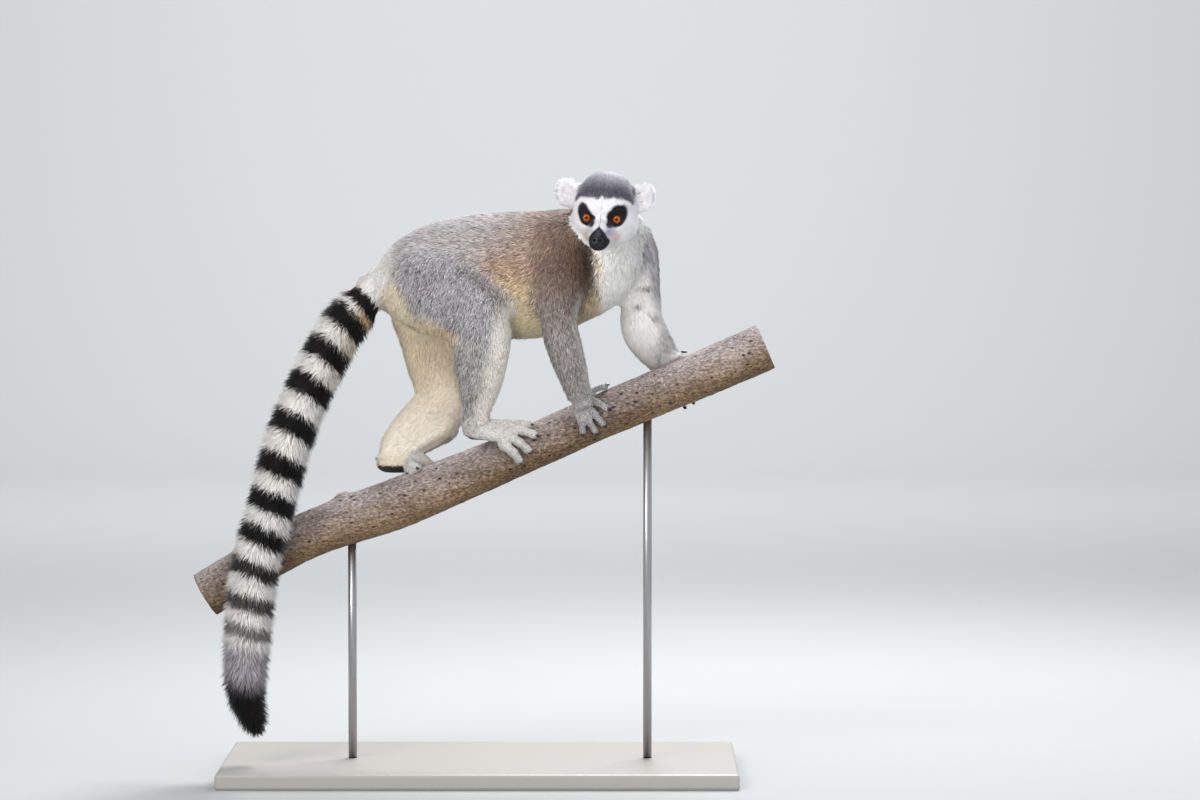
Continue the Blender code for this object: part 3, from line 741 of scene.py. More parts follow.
def wrap_lids(local, side):
    """Moves the skin near one eye, in the head's frame, so that it lies on the ball as lids."""
    eye = eye_at(side)
    offset = local - eye
    radius = np.maximum(np.linalg.norm(offset, axis=1), 1e-6)
    way = offset / radius[:, None]
    off_gaze = np.arccos(np.clip(-way[:, 1], -1, 1))
    flat = np.stack((way[:, 0] * side, way[:, 2]), 1)
    spread = np.maximum(np.linalg.norm(flat, axis=1), 1e-6)
    # The opening is an oval whose inner corner is drawn out towards the nose
    turn = np.arctan2(flat[:, 1], flat[:, 0]) + math.radians(12)
    rim = 1 / np.hypot(np.cos(turn) / OPENING[0], np.sin(turn) / OPENING[1])
    rim += math.radians(7) * bell(np.abs(turn), math.pi, 0.30)
    # Corners near the rim slide onto it, so that it is one clean line
    apart = off_gaze - rim
    slid = rim + np.where(np.abs(apart) < RIM_CATCH, apart * np.abs(apart) / RIM_CATCH, apart)
    inside = 1 - step(slid, rim - 0.03, rim + 0.03)
    lid = EYE_RADIUS + LID_THICKNESS - LID_FOLD * bell(slid, rim * 1.5, 0.09)
    wanted = lid + (EYE_RADIUS * 0.82 - lid) * inside
    hold = 1 - step(off_gaze, math.radians(46), math.radians(78))
    hold *= 1 - step(radius, 0.0110, 0.0155)
    new = radius + (wanted - radius) * hold
    off = off_gaze + (slid - off_gaze) * hold
    flat *= (np.sin(off) / spread)[:, None]
    turned = np.stack((flat[:, 0] * side, -np.cos(off), flat[:, 1]), 1)
    moved = eye + unit(turned) * new[:, None]
    return np.where((hold > 0)[:, None], moved, local)


seen = in_head(points)
for side in (-1, 1):
    seen[face] = wrap_lids(seen[face], side)
points[face] = from_head(seen[face])

# %% Hollow the ears
HOLLOW = (0.0100, 0.0132)  # half its width and height
HOLLOW_DEPTH = 0.0045
for side in (-1, 1):
    local = seen_from(ear_frame(side), points)
    oval = np.hypot(local[:, 0] / HOLLOW[0], (local[:, 2] - 0.001) / HOLLOW[1])
    front = step(-local[:, 1], 0, 0.002) * (np.abs(local).max(1) < 0.02)
    push = HOLLOW_DEPTH * (1 - step(oval, 0.35, 1.05)) * front
    points += push[:, None] * np.array(ear_frame(side))[:3, 1]
set_points(skin.data, points)

# %% [markdown]
# The fur hides most of the skin, so it keeps its fine grid only where it shows: on the face, the
# ears, the hands and the feet. Decimate thins out the rest, guided by a vertex group.

# %% Fewer faces under the fur
SKIN_TRIANGLES = 170_000


def thin_out(thing, plain, triangles):
    """Decimates an object down to about so many triangles, most of all where plain is 1."""
    levels = 10
    group = thing.vertex_groups.new(name="under fur")
    for level in range(levels + 1):
        chosen = np.nonzero(np.round(plain * levels) == level)[0]
        group.add(chosen.tolist(), level / levels, "REPLACE")
    now = sum(len(face.vertices) - 2 for face in thing.data.polygons)
    thin = thing.modifiers.new("thin out", "DECIMATE")
    thin.ratio = triangles / now
    thin.vertex_group = group.name
    thin.vertex_group_factor = 1
    baked(thing)
    thing.vertex_groups.clear()


numbers = node_numbers(points)
thin_out(skin, 1 - soften(part_of(numbers, *FINE), edges, 4), SKIN_TRIANGLES)
skin.data.shade_smooth()
points = points_of(skin.data)
edges = edges_of(skin.data)
numbers = node_numbers(points)
print("skin after thinning:", len(skin.data.polygons), "faces")

# %% [markdown]
# ## Markings
# One function gives the colour at any place on the animal, and both the skin and the coat take
# theirs from it. It knows the body by its solids, the face by the head's own frame and the tail by
# the distance along it, and blends soft-edged shapes over a base colour.

# %% Colours and soft shapes
def linear(code):
    """A #rrggbb colour in linear light."""
    share = np.array([int(code[i : i + 2], 16) for i in (1, 3, 5)]) / 255
    return np.where(share <= 0.04045, share / 12.92, ((share + 0.055) / 1.055) ** 2.4)


def paint(colours, code, weight):
    """Lays a colour over the others, by a weight for each point."""
    colours += (linear(code) - colours) * np.clip(weight, 0, 1)[:, None]


def blob(points, centre, radii, soft=0.5):
    """1 inside an ellipsoid, and 0 beyond its soft edge."""
    gap = np.linalg.norm((points - centre) / radii, axis=1)
    return 1 - step(gap, 1 - soft, 1 + soft)


def wander(points, scale, seed):
    """Smooth random values from about -1 to 1, whose patches are scale metres across."""
    shift = Vector((seed * 7.1, seed * 3.7, seed * 5.3))
    return np.array([noise.noise(Vector(p) / scale + shift) for p in points])


# %% The coat's base colours, part by part
WHITE = "#f3f0ec"
BODY_COLOURS = {
    "head": "#e2e0e2",
    "muzzle": "#e2e0e2",
    "ear": "#e9e7e9",
    "neck": "#a1938b",
    "trunk": "#ada6a3",
    "upper_arm": "#968c87",
    "forearm": "#9b9593",
    "hand": "#a9a5a5",
    "thigh": "#aaa7a9",
    "shank": "#a8a4a3",
    "foot": "#cbc7c2",
    "tail": "#ebe7e3",
}
BLACK_FUR = "#141112"


def base_colours(numbers):
    table = [next(c for k, c in BODY_COLOURS.items() if node.startswith(k)) for node in FLESH]
    return np.array([linear(code) for code in table])[numbers]


# %% The face's markings, in mm in the head's frame
CAP_EDGE = 9.5  # how high the cap's front edge lies
PATCH_MIDDLE = (15.8, -10.5)  # across and up
PATCH_LEAN = math.radians(30)
# The muzzle's black wedge: half its width at each height
WEDGE_HEIGHTS = (-50, -45, -36, -29, -21)
WEDGE_HALVES = (8.5, 11.5, 12.0, 7.5, 0.0)


def paint_head(colours, points):
    """The grey cap, the black patches round the eyes and the black muzzle."""
    seen = in_head(points) / MM
    x, y, z = seen.T
    side = np.abs(x)
    front = step(-y, 2, 14)
    edge = CAP_EDGE + 2.5 * bell(x, 0, 1.6) - 1.2 * bell(side, 4.5, 3)
    edge += 1.6 * wander(points, 0.004, 5)
    edge -= np.clip(0.8 * (side - 24), 0, 6) + 40 * step(y, -2, 24)
    cap = step(z, edge - 1.5, edge + 2.5) * (1 - step(side, 30, 34) * (1 - step(y, 2, 10)))
    paint(colours, "#716f7b", cap)
    darker = cap * (1 - step(z - edge, 7, 24)) * front
    paint(colours, "#45414c", 0.75 * darker * (1 + 0.5 * wander(points, 0.003, 6)))
    # Tan cheeks beside the muzzle
    cheek = bell(side, 17, 5) * bell(z, -35, 7) * step(-y, 18, 28)
    paint(colours, "#cda67a", 0.8 * cheek)
    # A teardrop round each eye, its point towards the nose
    out, above = side - PATCH_MIDDLE[0], z - PATCH_MIDDLE[1]
    across = out * math.cos(PATCH_LEAN) - above * math.sin(PATCH_LEAN)
    up = out * math.sin(PATCH_LEAN) + above * math.cos(PATCH_LEAN)
    width = 11.0 * (1 - 0.34 * step(-up, 2, 15))
    patch = 1 - step(np.hypot(across / width, up / np.where(up < 0, 14.5, 17.0)), 0.84, 1.06)
    # Its upper inner side is cut straight, from high outside down to the nose
    right = x < 0
    steep = np.where(right, math.radians(44), math.radians(30))
    over = (z - 0.2) * np.cos(steep) - (side - np.where(right, 17.5, 18.5)) * np.sin(steep)
    over -= np.where(right, 1.2, 3.0) * bell(side, 15, 6)
    patch *= 1 - step(over, -1.4, 1.6)
    patch *= step(side + 0.30 * np.minimum(z + 12, 0), 3.4, 5.2) * step(-y, 10, 16)
    paint(colours, "#1b181d", patch)
    # A grey bloom between the eye and the nose
    bloom = bell(side, 10, 5) * bell(z, -27.5, 5) * step(-y, 24, 32)
    paint(colours, "#8d86a0", 0.75 * bloom * np.where(right, 0.6, 1))
    # The black of the muzzle is a wedge, whose point lies up the ridge of the nose
    half = np.interp(z, WEDGE_HEIGHTS, WEDGE_HALVES)
    ragged = side + 0.5 * wander(points, 0.003, 7)
    wedge = (1 - step(ragged, half - 1.0, half + 1.0)) * step(-y, 36, 42)
    paint(colours, "#1d1a20", wedge)
    # A painted highlight down the ridge of the black nose
    nose_highlight = bell(x, 0, 2.6) * step(z, -37, -33) * (1 - step(z, -27, -23))
    paint(colours, "#4d5068", 0.65 * nose_highlight * wedge)
    # The lips' dark line
    gap = near_line(folded(seen) * MM, spline(LIPS, 14))[0] / MM
    paint(colours, "#3a3236", 0.9 * (1 - step(gap, 0.9, 1.8)))


def paint_ears(colours, points):
    """A few dark flecks in the hollow of each ear."""
    for side in (-1, 1):
        local = seen_from(ear_frame(side), points)
        near = np.abs(local).max(1) < 0.026
        oval = np.hypot(local[:, 0] / 0.0120, (local[:, 2] + 0.003) / 0.0145)
        hollow = (1 - step(oval, 0.45, 1.0)) * (local[:, 1] < 0.002) * near
        low = hollow * step(-local[:, 2] - side * local[:, 0], -0.001, 0.003)
        streaks = step(wander(local * (1, 1, 0.4), 0.0016, 2), 0.02, 0.22)
        paint(colours, "#4b4142", low * streaks * (0.85 if side > 0 else 0.35))
        paint(colours, "#d8cfd0", hollow * (1 - streaks) * 0.4)


# %% The tail's rings
# The middle of each black ring along the tail in mm, half its width, and how black it is
RINGS = (
    (27, 6.5, 0.9),
    (53, 10.5, 1),
    (86, 12.5, 1),
    (130, 12.5, 1),
    (175, 12.8, 1),
    (224, 12.8, 1),
    (272, 12.3, 1),
    (315, 11.3, 1),
    (355, 10.5, 1),
    (394, 9.8, 0.97),
    (433, 9.0, 0.92),
    (466, 7.5, 0.75),
)
TIP_GREY = 482  # where the tail turns plain grey, and then black
TIP_BLACK = 528
RING_SHIFT = 12.5  # a hair shows its outer half, which lies this far past its root
RING_SLANT = 0.30


def along_tail(points):
    """For each point: its place along the tail in metres, and the nearest row of its line."""
    nearest = np.empty(len(points), int)
    at_once = 20000
    for start in range(0, len(points), at_once):
        part = slice(start, start + at_once)
        gaps = points[part, None] - TAIL_LINE[None]
        nearest[part] = np.einsum("ijk,ijk->ij", gaps, gaps).argmin(1)
    return TAIL_ALONG[nearest], nearest


def paint_tail(colours, points, on_tail):
    chosen = np.nonzero(on_tail)[0]
    if not len(chosen):
        return
    local = points[chosen]
    along, nearest = along_tail(local)
    offset = local - TAIL_LINE[nearest]
    place = along / MM + RING_SHIFT - RING_SLANT * offset[:, 0] / MM
    place = place + 1.8 * wander(local, 0.010, 3)
    own = colours[chosen]
    under = step(offset[:, 0] - offset[:, 2], -0.004, 0.014)
    paint(own, "#b98a52", 0.85 * under * (1 - step(place, 75, 105)))
    paint(own, "#cdb594", 0.5 * under * (1 - step(place, 110, 190)))
    for centre, half, strength in RINGS:
        paint(own, BLACK_FUR, strength * (1 - step(np.abs(place - centre), half - 2, half + 2)))
    paint(own, "#85808d", 0.75 * step(place, TIP_GREY - 5, TIP_GREY + 12))
    paint(own, BLACK_FUR, step(place, TIP_BLACK - 14, TIP_BLACK + 14))
    colours[chosen] = own


# %% The body's markings
def paint_body(colours, points, outward, on):
    """Brown shoulders, a tan flank, a cream belly and seat, and a white breast."""
    both = folded(points, 1)
    x, _, z = both.T
    rough = 0.006 * wander(points, 0.018, 21)
    torso = on("trunk", "neck", "thigh", "upper_arm")
    trunk = on("trunk")
    # The brown shoulder
    shoulder = blob(both, (0.078, 0.03, 0.622), (0.052, 0.08, 0.048), 0.9)
    paint(colours, "#a58b7a", 0.75 * torso * shoulder)
    # From the flank down to the belly: brown, tan and cream
    flank = (1 - step(z + rough, 0.590, 0.620)) * step(x, -0.03, 0.03)
    paint(colours, "#a58e7b", 0.80 * trunk * flank)
    side = 1 - step(z + rough + 0.15 * (0.05 - x), 0.562, 0.600)
    paint(colours, "#dcc7a4", 0.95 * trunk * side)
    paint(colours, "#e6d7b6", trunk * (1 - step(z + rough, 0.520, 0.555)))
    warm = blob(both, (0.040, 0.050, 0.590), (0.030, 0.05, 0.022), 0.9)
    paint(colours, "#b38a68", 0.30 * torso * warm)
    # The dark neck under the chin on the near side: its own dark brown fur, deepened with painted
    # shade
    near = step(-points[:, 1], -0.004, 0.012)
    neck_shade = blob(both, (0.112, 0.050, 0.602), (0.030, 0.05, 0.044), 0.9)
    paint(colours, "#56402f", 0.9 * torso * near * neck_shade)
    dark = blob(both, (0.127, 0.030, 0.607), (0.012, 0.05, 0.030), 0.8)
    paint(colours, "#2c221c", near * on("trunk", "neck", "upper_arm") * dark)
    # The white breast, up to the throat
    breast = step(x + 0.20 * np.minimum(z - 0.60, 0), 0.127, 0.141)
    breast *= 1 - step(outward[:, 1], 0.10, 0.50)
    nape = step(z, 0.632, 0.648) * (1 - step(x, 0.150, 0.165))
    paint(colours, WHITE, on("trunk", "neck") * breast * (1 - nape))
    tan = bell(x, 0.137, 0.007) * bell(z, 0.600, 0.022) * breast
    paint(colours, "#d9bd98", 0.7 * tan * on("trunk", "neck"))
    # Frosted tips, with painted light from above, where the back and the near thigh face up
    frost_and_top_light = step(outward[:, 2], 0.45, 0.95) * (1 - step(x, 0.02, 0.08))
    paint(colours, "#d6d3d8", 0.50 * frost_and_top_light * on("trunk", "thigh_right"))
    # The pale rump, and the cream seat behind a slanting line over the thigh
    rump = step(-x, 0.082, 0.106) * step(z, 0.530, 0.560)
    paint(colours, "#e4e0dd", 0.85 * on("trunk", "thigh") * rump)
    seat_line = np.interp(x, (-0.106, -0.094, -0.070, -0.030), (0.600, 0.580, 0.545, 0.529))
    seat = step(seat_line - z + 1.5 * rough, -0.008, 0.012) * step(-x, 0.014, 0.034)
    behind = step(-outward[:, 0], 0.30, 0.75) * (1 - step(z, 0.560, 0.585))
    seat = np.maximum(seat * on("thigh_right"), behind * on("thigh_left", "trunk"))
    paint(colours, "#e2d4b9", seat)
    under = blob(both, (-0.052, 0.045, 0.520), (0.032, 0.05, 0.018), 0.9)
    paint(colours, "#cfa777", 0.6 * seat * under)
    # Painted shade in the soft fold between the thigh and the flank
    fold_line = np.interp(x, (-0.045, 0.031), (0.612, 0.556))
    fold_shade = bell(z, fold_line, 0.006) * step(x, -0.045, -0.015) * (1 - step(x, 0.030, 0.042))
    paint(colours, "#7d7875", 0.5 * fold_shade * on("thigh", "trunk"))
    # Pale fronts of the shanks, and pale feet
    strip = x - (0.008 + 0.214 * (z - 0.436))
    front = step(strip + rough, -0.020, 0.000) * (1 - step(z, 0.552, 0.575))
    paint(colours, "#ebe4da", front * on("shank_right", "thigh_right"))
    paint(colours, "#ddd8d0", on("shank_right") * (1 - step(z, 0.408, 0.426)))


# Streaks down the far arm, with painted shade in its creases: colour, strength, middle and radii in
# the side view
FAR_ARM = (
    ("#85818f", 0.90, (0.192, 0, 0.619), (0.009, 1, 0.026)),
    ("#85818f", 0.90, (0.205, 0, 0.584), (0.007, 1, 0.027)),
    ("#4d4542", 0.80, (0.191, 0, 0.573), (0.009, 1, 0.004)),
    ("#4d4542", 0.80, (0.184, 0, 0.552), (0.004, 1, 0.003)),
    ("#6a625f", 0.70, (0.197, 0, 0.537), (0.009, 1, 0.006)),
    ("#827a78", 0.75, (0.215, 0, 0.507), (0.015, 1, 0.014)),
    ("#5d5654", 0.70, (0.208, 0, 0.491), (0.004, 1, 0.007)),
)


def paint_insides(colours, points, outward, on):
    """White and cream on the sides of the limbs that face one another."""
    inner = outward[:, 1] * np.where(points[:, 1] < 0, 1, -1)
    # A patch of painted shade on the near thigh
    shade = blob(points, (-0.070, -0.07, 0.575), (0.026, 0.05, 0.022), 0.9)
    paint(colours, "#8e888b", 0.5 * shade * on("thigh_right"))
    leg = on("thigh", "shank") * step(inner, -0.15, 0.35)
    inner_left = on("thigh_left", "shank_left") * step(-outward[:, 1], -0.35, 0.05)
    paint(colours, "#e4dac9", np.maximum(leg * on("thigh_right", "shank_right"), inner_left))
    warm = blob(points, (-0.075, 0.03, 0.50), (0.05, 0.06, 0.05), 0.9)
    paint(colours, "#d9bd93", 0.5 * inner_left * warm)
    paint(colours, "#dccfba", 0.9 * on("foot_left") * step(-outward[:, 1], -0.45, 0.0))
    # The far foot's grey toe, dark beneath
    toe = on("foot_left") * step(points[:, 0], -0.092, -0.086) * (points[:, 1] < 0.012)
    paint(colours, "#cbc8c6", 0.9 * toe)
    paint(colours, "#3c3532", 0.85 * toe * (1 - step(points[:, 2], 0.3500, 0.3545)))
    # The arms: pale inside on the near one, and over most of the far one
    arm = np.maximum(step(outward[:, 1], 0.0, 0.45), 0.5 * step(outward[:, 0], 0.55, 0.95))
    paint(colours, "#e4ded6", on("upper_arm_right", "forearm_right") * arm)
    edge = 0.30 - 0.55 * (1 - step(points[:, 2], 0.535, 0.570))
    seen_side = -outward[:, 1] + 0.2 * (1 - np.abs(outward[:, 0]))
    left = ("upper_arm_left", "forearm_left", "hand_left")
    paint(colours, "#e6e2df", on(*left) * step(seen_side, edge - 0.2, edge + 0.2))
    far = on(*left, "trunk") * (points[:, 1] > -0.012) * (1 - step(outward[:, 1], 0.20, 0.55))
    flecks = step(wander(points, 0.004, 8), -0.10, 0.25)
    # The far arm's grey streaks, and the painted shade of its creases
    for colour, strength, centre, radii in FAR_ARM:
        spot = blob(points * (1, 0, 1), centre, radii, 0.8)
        paint(colours, colour, strength * spot * far * (0.45 + 0.55 * flecks))


MINGLE = 0.006  # how far tufts of two parts mix across the line between them


def mingled(points, numbers, draws):
    """Node numbers in which tufts of neighbouring parts are mixed near the line between them."""
    moved = node_numbers(points + draws.normal(0, MINGLE, points.shape))
    plain = [part_of(n, *FINE, "tail") == 0 for n in (numbers, moved)]
    return np.where(plain[0] & plain[1], moved, numbers)


def markings(points, numbers, outward):
    """The coat's colour at each point, in linear light."""

    def on(*starts):
        return part_of(numbers, *starts)

    colours = base_colours(numbers)
    paint_body(colours, points, outward, on)
    paint_insides(colours, points, outward, on)
    paint_tail(colours, points, on("tail") > 0)
    skull = on("head", "muzzle") > 0
    for chosen, painter in ((skull, paint_head), (on("ear") > 0, paint_ears)):
        if chosen.any():
            own = colours[chosen]
            painter(own, points[chosen])
            colours[chosen] = own
    patches = 1 + 0.10 * wander(points, 0.022, 9) + 0.09 * wander(points, 0.006, 4)
    return np.clip(colours * patches[:, None], 0.003, 0.95)


print("markings: rings", len(RINGS), "and a black tip")

# %% [markdown]
# ## The coat
# A real coat is too many hairs to model, so it is made of small closed tufts. Each is a spindle
# that leaves the skin, arches a little and comes back along it. The skin carries how the tufts
# grow: their lie, length, lift, width and how many there are. Geometry Nodes then scatters them.

# %% The lie of the hair over the body
# A way for each part; the head, ears and tail follow their own forms instead
LIE = {
    "neck": (-0.6, 0.1, -0.8),
    "trunk": (-1.0, 0.0, -0.35),
    "upper_arm_right": (-0.1, 0.0, -1.0),
    "upper_arm_left": (0.25, 0.0, -1.0),
    "forearm_right": (0.25, 0.1, -1.0),
    "forearm_left": (0.45, 0.1, -1.0),
    "hand_right": (0.40, 0.0, -1.0),
    "hand_left": (0.50, 0.4, -0.9),
    "thigh_right": (-0.3, 0.0, -1.0),
    "thigh_left": (0.1, 0.0, -1.0),
    "shank_right": (-0.05, 0.25, -1.0),
    "shank_left": (-0.8, -0.3, -0.6),
    "foot_right": (1.0, 0.0, -0.15),
    "foot_left": (1.0, 0.1, 0.2),
}
RUMP_LIE = (-0.55, -0.1, -0.83)
CHEST_LIE = (-0.1, 0, -1)


def rump_of(points, numbers):
    """1 on the rump, just before the tail."""
    body = part_of(numbers, "trunk", "thigh")
    return body * step(-points[:, 0], 0.085, 0.112) * step(points[:, 2], 0.54, 0.57)


def lie_of(points, numbers):
    """Which way the hairs lie at each point, before they are laid on the surface."""
    still = (0, 0, 0)
    table = [next((w for k, w in LIE.items() if node.startswith(k)), still) for node in FLESH]
    lie = unit(np.array(table, float))[numbers]
    head = part_of(numbers, "head", "muzzle") > 0
    nose = from_head(NOSE_TIP[None] + (0, -0.004, 0))
    lie[head] = unit(points[head] - nose)
    ear = part_of(numbers, "ear") > 0
    lie[ear] = unit(points[ear] - np.array(HEAD.translation))
    tail = part_of(numbers, "tail") > 0
    ahead = unit(np.gradient(TAIL_LINE, axis=0))
    lie[tail] = ahead[along_tail(points[tail])[1]]
    chest = part_of(numbers, "trunk") * step(points[:, 0], 0.105, 0.130)
    lie += (np.array(CHEST_LIE) - lie) * chest[:, None]
    return lie + (np.array(RUMP_LIE) - lie) * rump_of(points, numbers)[:, None]


# %% [markdown]
# Each vertex of the skin now gets the coat's values: its own part's, smoothed towards its
# neighbours', and then changed for the cheeks, the forehead, the eyes, the nose and the soles.

# %% What the skin tells the tufts

def set_attribute(data, name, kind, values, domain="POINT"):
    layer = data.attributes.new(name, kind, domain)
    key = {"FLOAT_VECTOR": "vector", "FLOAT_COLOR": "color"}.get(kind, "value")
    number = np.int32 if kind == "INT" else np.float32
    layer.data.foreach_set(key, np.ascontiguousarray(values, number).ravel())


def with_alpha(colours):
    return np.column_stack((colours, np.ones(len(colours))))


outward = unit(soften(normals_of(skin.data), edges, 3))
lie = soften(lie_of(points, numbers), edges, 12)
lie = unit(lie - outward * dot(lie, outward)[:, None])
length, lift, width, count = (
    of_kind(numbers, lambda node, i=i: COAT[kind_of(node)][i]) for i in range(4)
)
on_head = part_of(numbers, *HEAD_PARTS) > 0
length, lift, width, count = (
    np.where(on_head, soften(values, edges, 3), soften(values, edges, 8))
    for values in (length, lift, width, count)
)
# The tail's hair is short where it leaves the body, and draws in to a point at its tip
on_tail = part_of(numbers, "tail")
along = along_tail(points)[0]
length *= 1 - on_tail * (0.40 * (1 - step(along, 0.005, 0.05)))
length *= 1 - 0.45 * rump_of(points, numbers)
to_tip = (TAIL_ALONG[-1] - along) / MM
length = np.where(on_tail > 0, np.minimum(length, 7 + 0.55 * to_tip), length)
# Cheeks are the face's longest fur, and the rims of the eyes and the nose are bare
seen = in_head(points)
x, y, z = seen.T / MM
cheeks = on_head * step(np.abs(x), 22, 32) * step(-z, 5, 18) * (np.abs(x) < 42)
length *= 1 + 0.6 * cheeks
forehead = on_head * step(-y, 10, 24)
length *= 1 - 0.35 * forehead
width *= 1 - 0.15 * forehead
count *= 1 + 0.5 * forehead
eye_gap = near_eyes(seen) / MM
off_gaze = np.degrees(np.arccos(np.clip(-unit(folded(seen) - eye_at(1))[:, 1], -1, 1)))
lid_skin = on_head * (1 - step(off_gaze, 43, 45)) * (1 - step(eye_gap, 10.5, 11.5))
pad = 1 - step(np.linalg.norm((seen - NOSE_TIP) / (1.1, 1, 0.9), axis=1) / MM, 7.0, 8.2)
pad *= on_head
count *= (1 - lid_skin) * (1 - pad)
length *= 1 - 0.66 * on_head * (1 - step(eye_gap, 9.0, 18))
count *= 1 + 0.6 * on_head * (1 - step(eye_gap, 9.0, 13))
# Palms, soles and the undersides of the digits are bare
palm = part_of(numbers, *DIGITS)
spot = np.interp(points[:, 0], PERCH_LINE[:, 0], PERCH_LINE[:, 1])
inward = np.stack((np.zeros(len(points)), -points[:, 1], spot - points[:, 2]), 1)
faces_bark = dot(unit(inward), outward)
# The far foot's front is furred all round, where it turns over the branch
far_foot = part_of(numbers, "foot_left")
arch = far_foot * step(points[:, 0], -0.084, -0.078) * (points[:, 1] < 0.020)
count *= 1 - palm * step(faces_bark, 0.05 + 0.85 * arch, 0.35 + 0.85 * arch)

# %% Which coat piece grows where
# Each piece's finish, and the parts it grows on; the crown and the back each pass a share on
COATS = {
    "coat_crown": ("coat_white", *HEAD_PARTS),
    "coat_face": ("coat_white",),
    "coat_neck": ("coat_brown", "neck"),
    "coat_back": ("coat_grey", "trunk"),
    "coat_rump": ("coat_grey",),
    "coat_arm_right": ("coat_grey", "upper_arm_right", "forearm_right", "hand_right"),
    "coat_arm_left": ("coat_white", "upper_arm_left", "forearm_left", "hand_left"),
    "coat_leg_right": ("coat_grey", "thigh_right", "shank_right", "foot_right"),
    "coat_leg_left": ("coat_white", "thigh_left", "shank_left", "foot_left"),
    "coat_tail_upper": ("coat_ringed", "tail_1", "tail_2"),
    "coat_tail_lower": ("coat_ringed", "tail_3", "tail_4"),
}
CROWN, FACE_COAT, _, BACK, RUMP = range(5)
RUMP_START = 0.035
FACE_START = -6
region = of_kind(
    numbers,
    lambda node: next(i for i, row in enumerate(COATS.values()) if node.startswith(row[1:])),
)
region = np.where((region == BACK) & (points[:, 0] < RUMP_START), RUMP, region)
region = np.where((region == CROWN) & (y < FACE_START), FACE_COAT, region)
first_corner = np.array([face.vertices[0] for face in skin.data.polygons])
set_attribute(skin.data, "coat_region", "INT", region[first_corner], "FACE")
set_attribute(skin.data, "outward", "FLOAT_VECTOR", outward)
set_attribute(skin.data, "lie", "FLOAT_VECTOR", lie)
HAIR = {
    "length": length * MM,
    "lift": np.radians(lift),
    "width": width * MM,
    "count": count / MM**2,
}
for name, values in HAIR.items():
    set_attribute(skin.data, "hair_" + name, "FLOAT", values)
print("hair length, mm:", round(length.min(), 1), "to", round(length.max(), 1))


# %% One tuft
def tuft_mesh():
    """A closed blade one unit long along z and one wide, which arches towards +x."""
    arch, belly = 0.9, 0.42
    corners = [(0, 0, 0), (arch, 0.5, belly), (arch, -0.5, belly), (0, 0, 1)]
    faces = [(0, 1, 2), (3, 2, 1), (0, 3, 1), (0, 2, 3)]
    data = bpy.data.meshes.new("tuft")
    data.from_pydata(corners, [], faces)
    return data


TUFT_CORNERS = 4
tuft = new_object("tuft", tuft_mesh())


# %% A small helper for nodes
def add_node(tree, kind, inputs=None, **settings):
    """Adds a node; inputs maps a socket's name or number to a value or to another node's socket."""
    node = tree.nodes.new(kind)
    for key, value in settings.items():
        setattr(node, key, value)
    for key, value in (inputs or {}).items():
        if isinstance(value, bpy.types.NodeSocket):
            tree.links.new(value, node.inputs[key])
        else:
            node.inputs[key].default_value = value
    return node


def maths(tree, operation, *values):
    """The outcome of a Math node."""
    inputs = dict(enumerate(values))
    return add_node(tree, "ShaderNodeMath", inputs, operation=operation).outputs[0]


def vector_maths(tree, operation, *values, scale=1.0):
    """The outcome of a Vector Math node."""
    inputs = dict(enumerate(values)) | {3: scale}
    return add_node(tree, "ShaderNodeVectorMath", inputs, operation=operation).outputs[0]


def mapped(tree, value, *limits):
    """A value brought from one range to another: from low, from high, to low, to high."""
    inputs = dict(enumerate((value, *limits)))
    return add_node(tree, "ShaderNodeMapRange", inputs).outputs[0]


def noise_of(tree, place, scale, detail, roughness=0.5):
    inputs = {"Vector": place, "Scale": scale, "Detail": detail, "Roughness": roughness}
    return add_node(tree, "ShaderNodeTexNoise", inputs).outputs["Fac"]


def object_place(tree):
    return add_node(tree, "ShaderNodeTexCoord").outputs["Object"]


def colour_ramp(tree, value, stops):
    """A colour ramp over the value, with its stops as (place, #rrggbb)."""
    ramp = add_node(tree, "ShaderNodeValToRGB", {"Fac": value})
    elements = ramp.color_ramp.elements
    while len(elements) < len(stops):
        elements.new(0.5)
    for element, (spot, code) in zip(elements, stops):
        element.position = spot
        element.color = (*linear(code), 1)
    return ramp.outputs[0]


def mix(tree, share, first, second):
    """A mix of two colours, each a #rrggbb code or a socket."""
    colours = [(*linear(c), 1) if isinstance(c, str) else c for c in (first, second)]
    inputs = {0: share, 6: colours[0], 7: colours[1]}
    return add_node(tree, "ShaderNodeMix", inputs, data_type="RGBA").outputs[2]


# %% The tree that scatters the tufts
COAT_INPUTS = {
    "Geometry": "NodeSocketGeometry",
    "Region": "NodeSocketInt",
    "Seed": "NodeSocketInt",
    "Tuft": "NodeSocketObject",
    "Scatter": "NodeSocketFloat",
    "Clumping": "NodeSocketFloat",
    "Material": "NodeSocketMaterial",
}


SWIRL_SCALE = 85.0


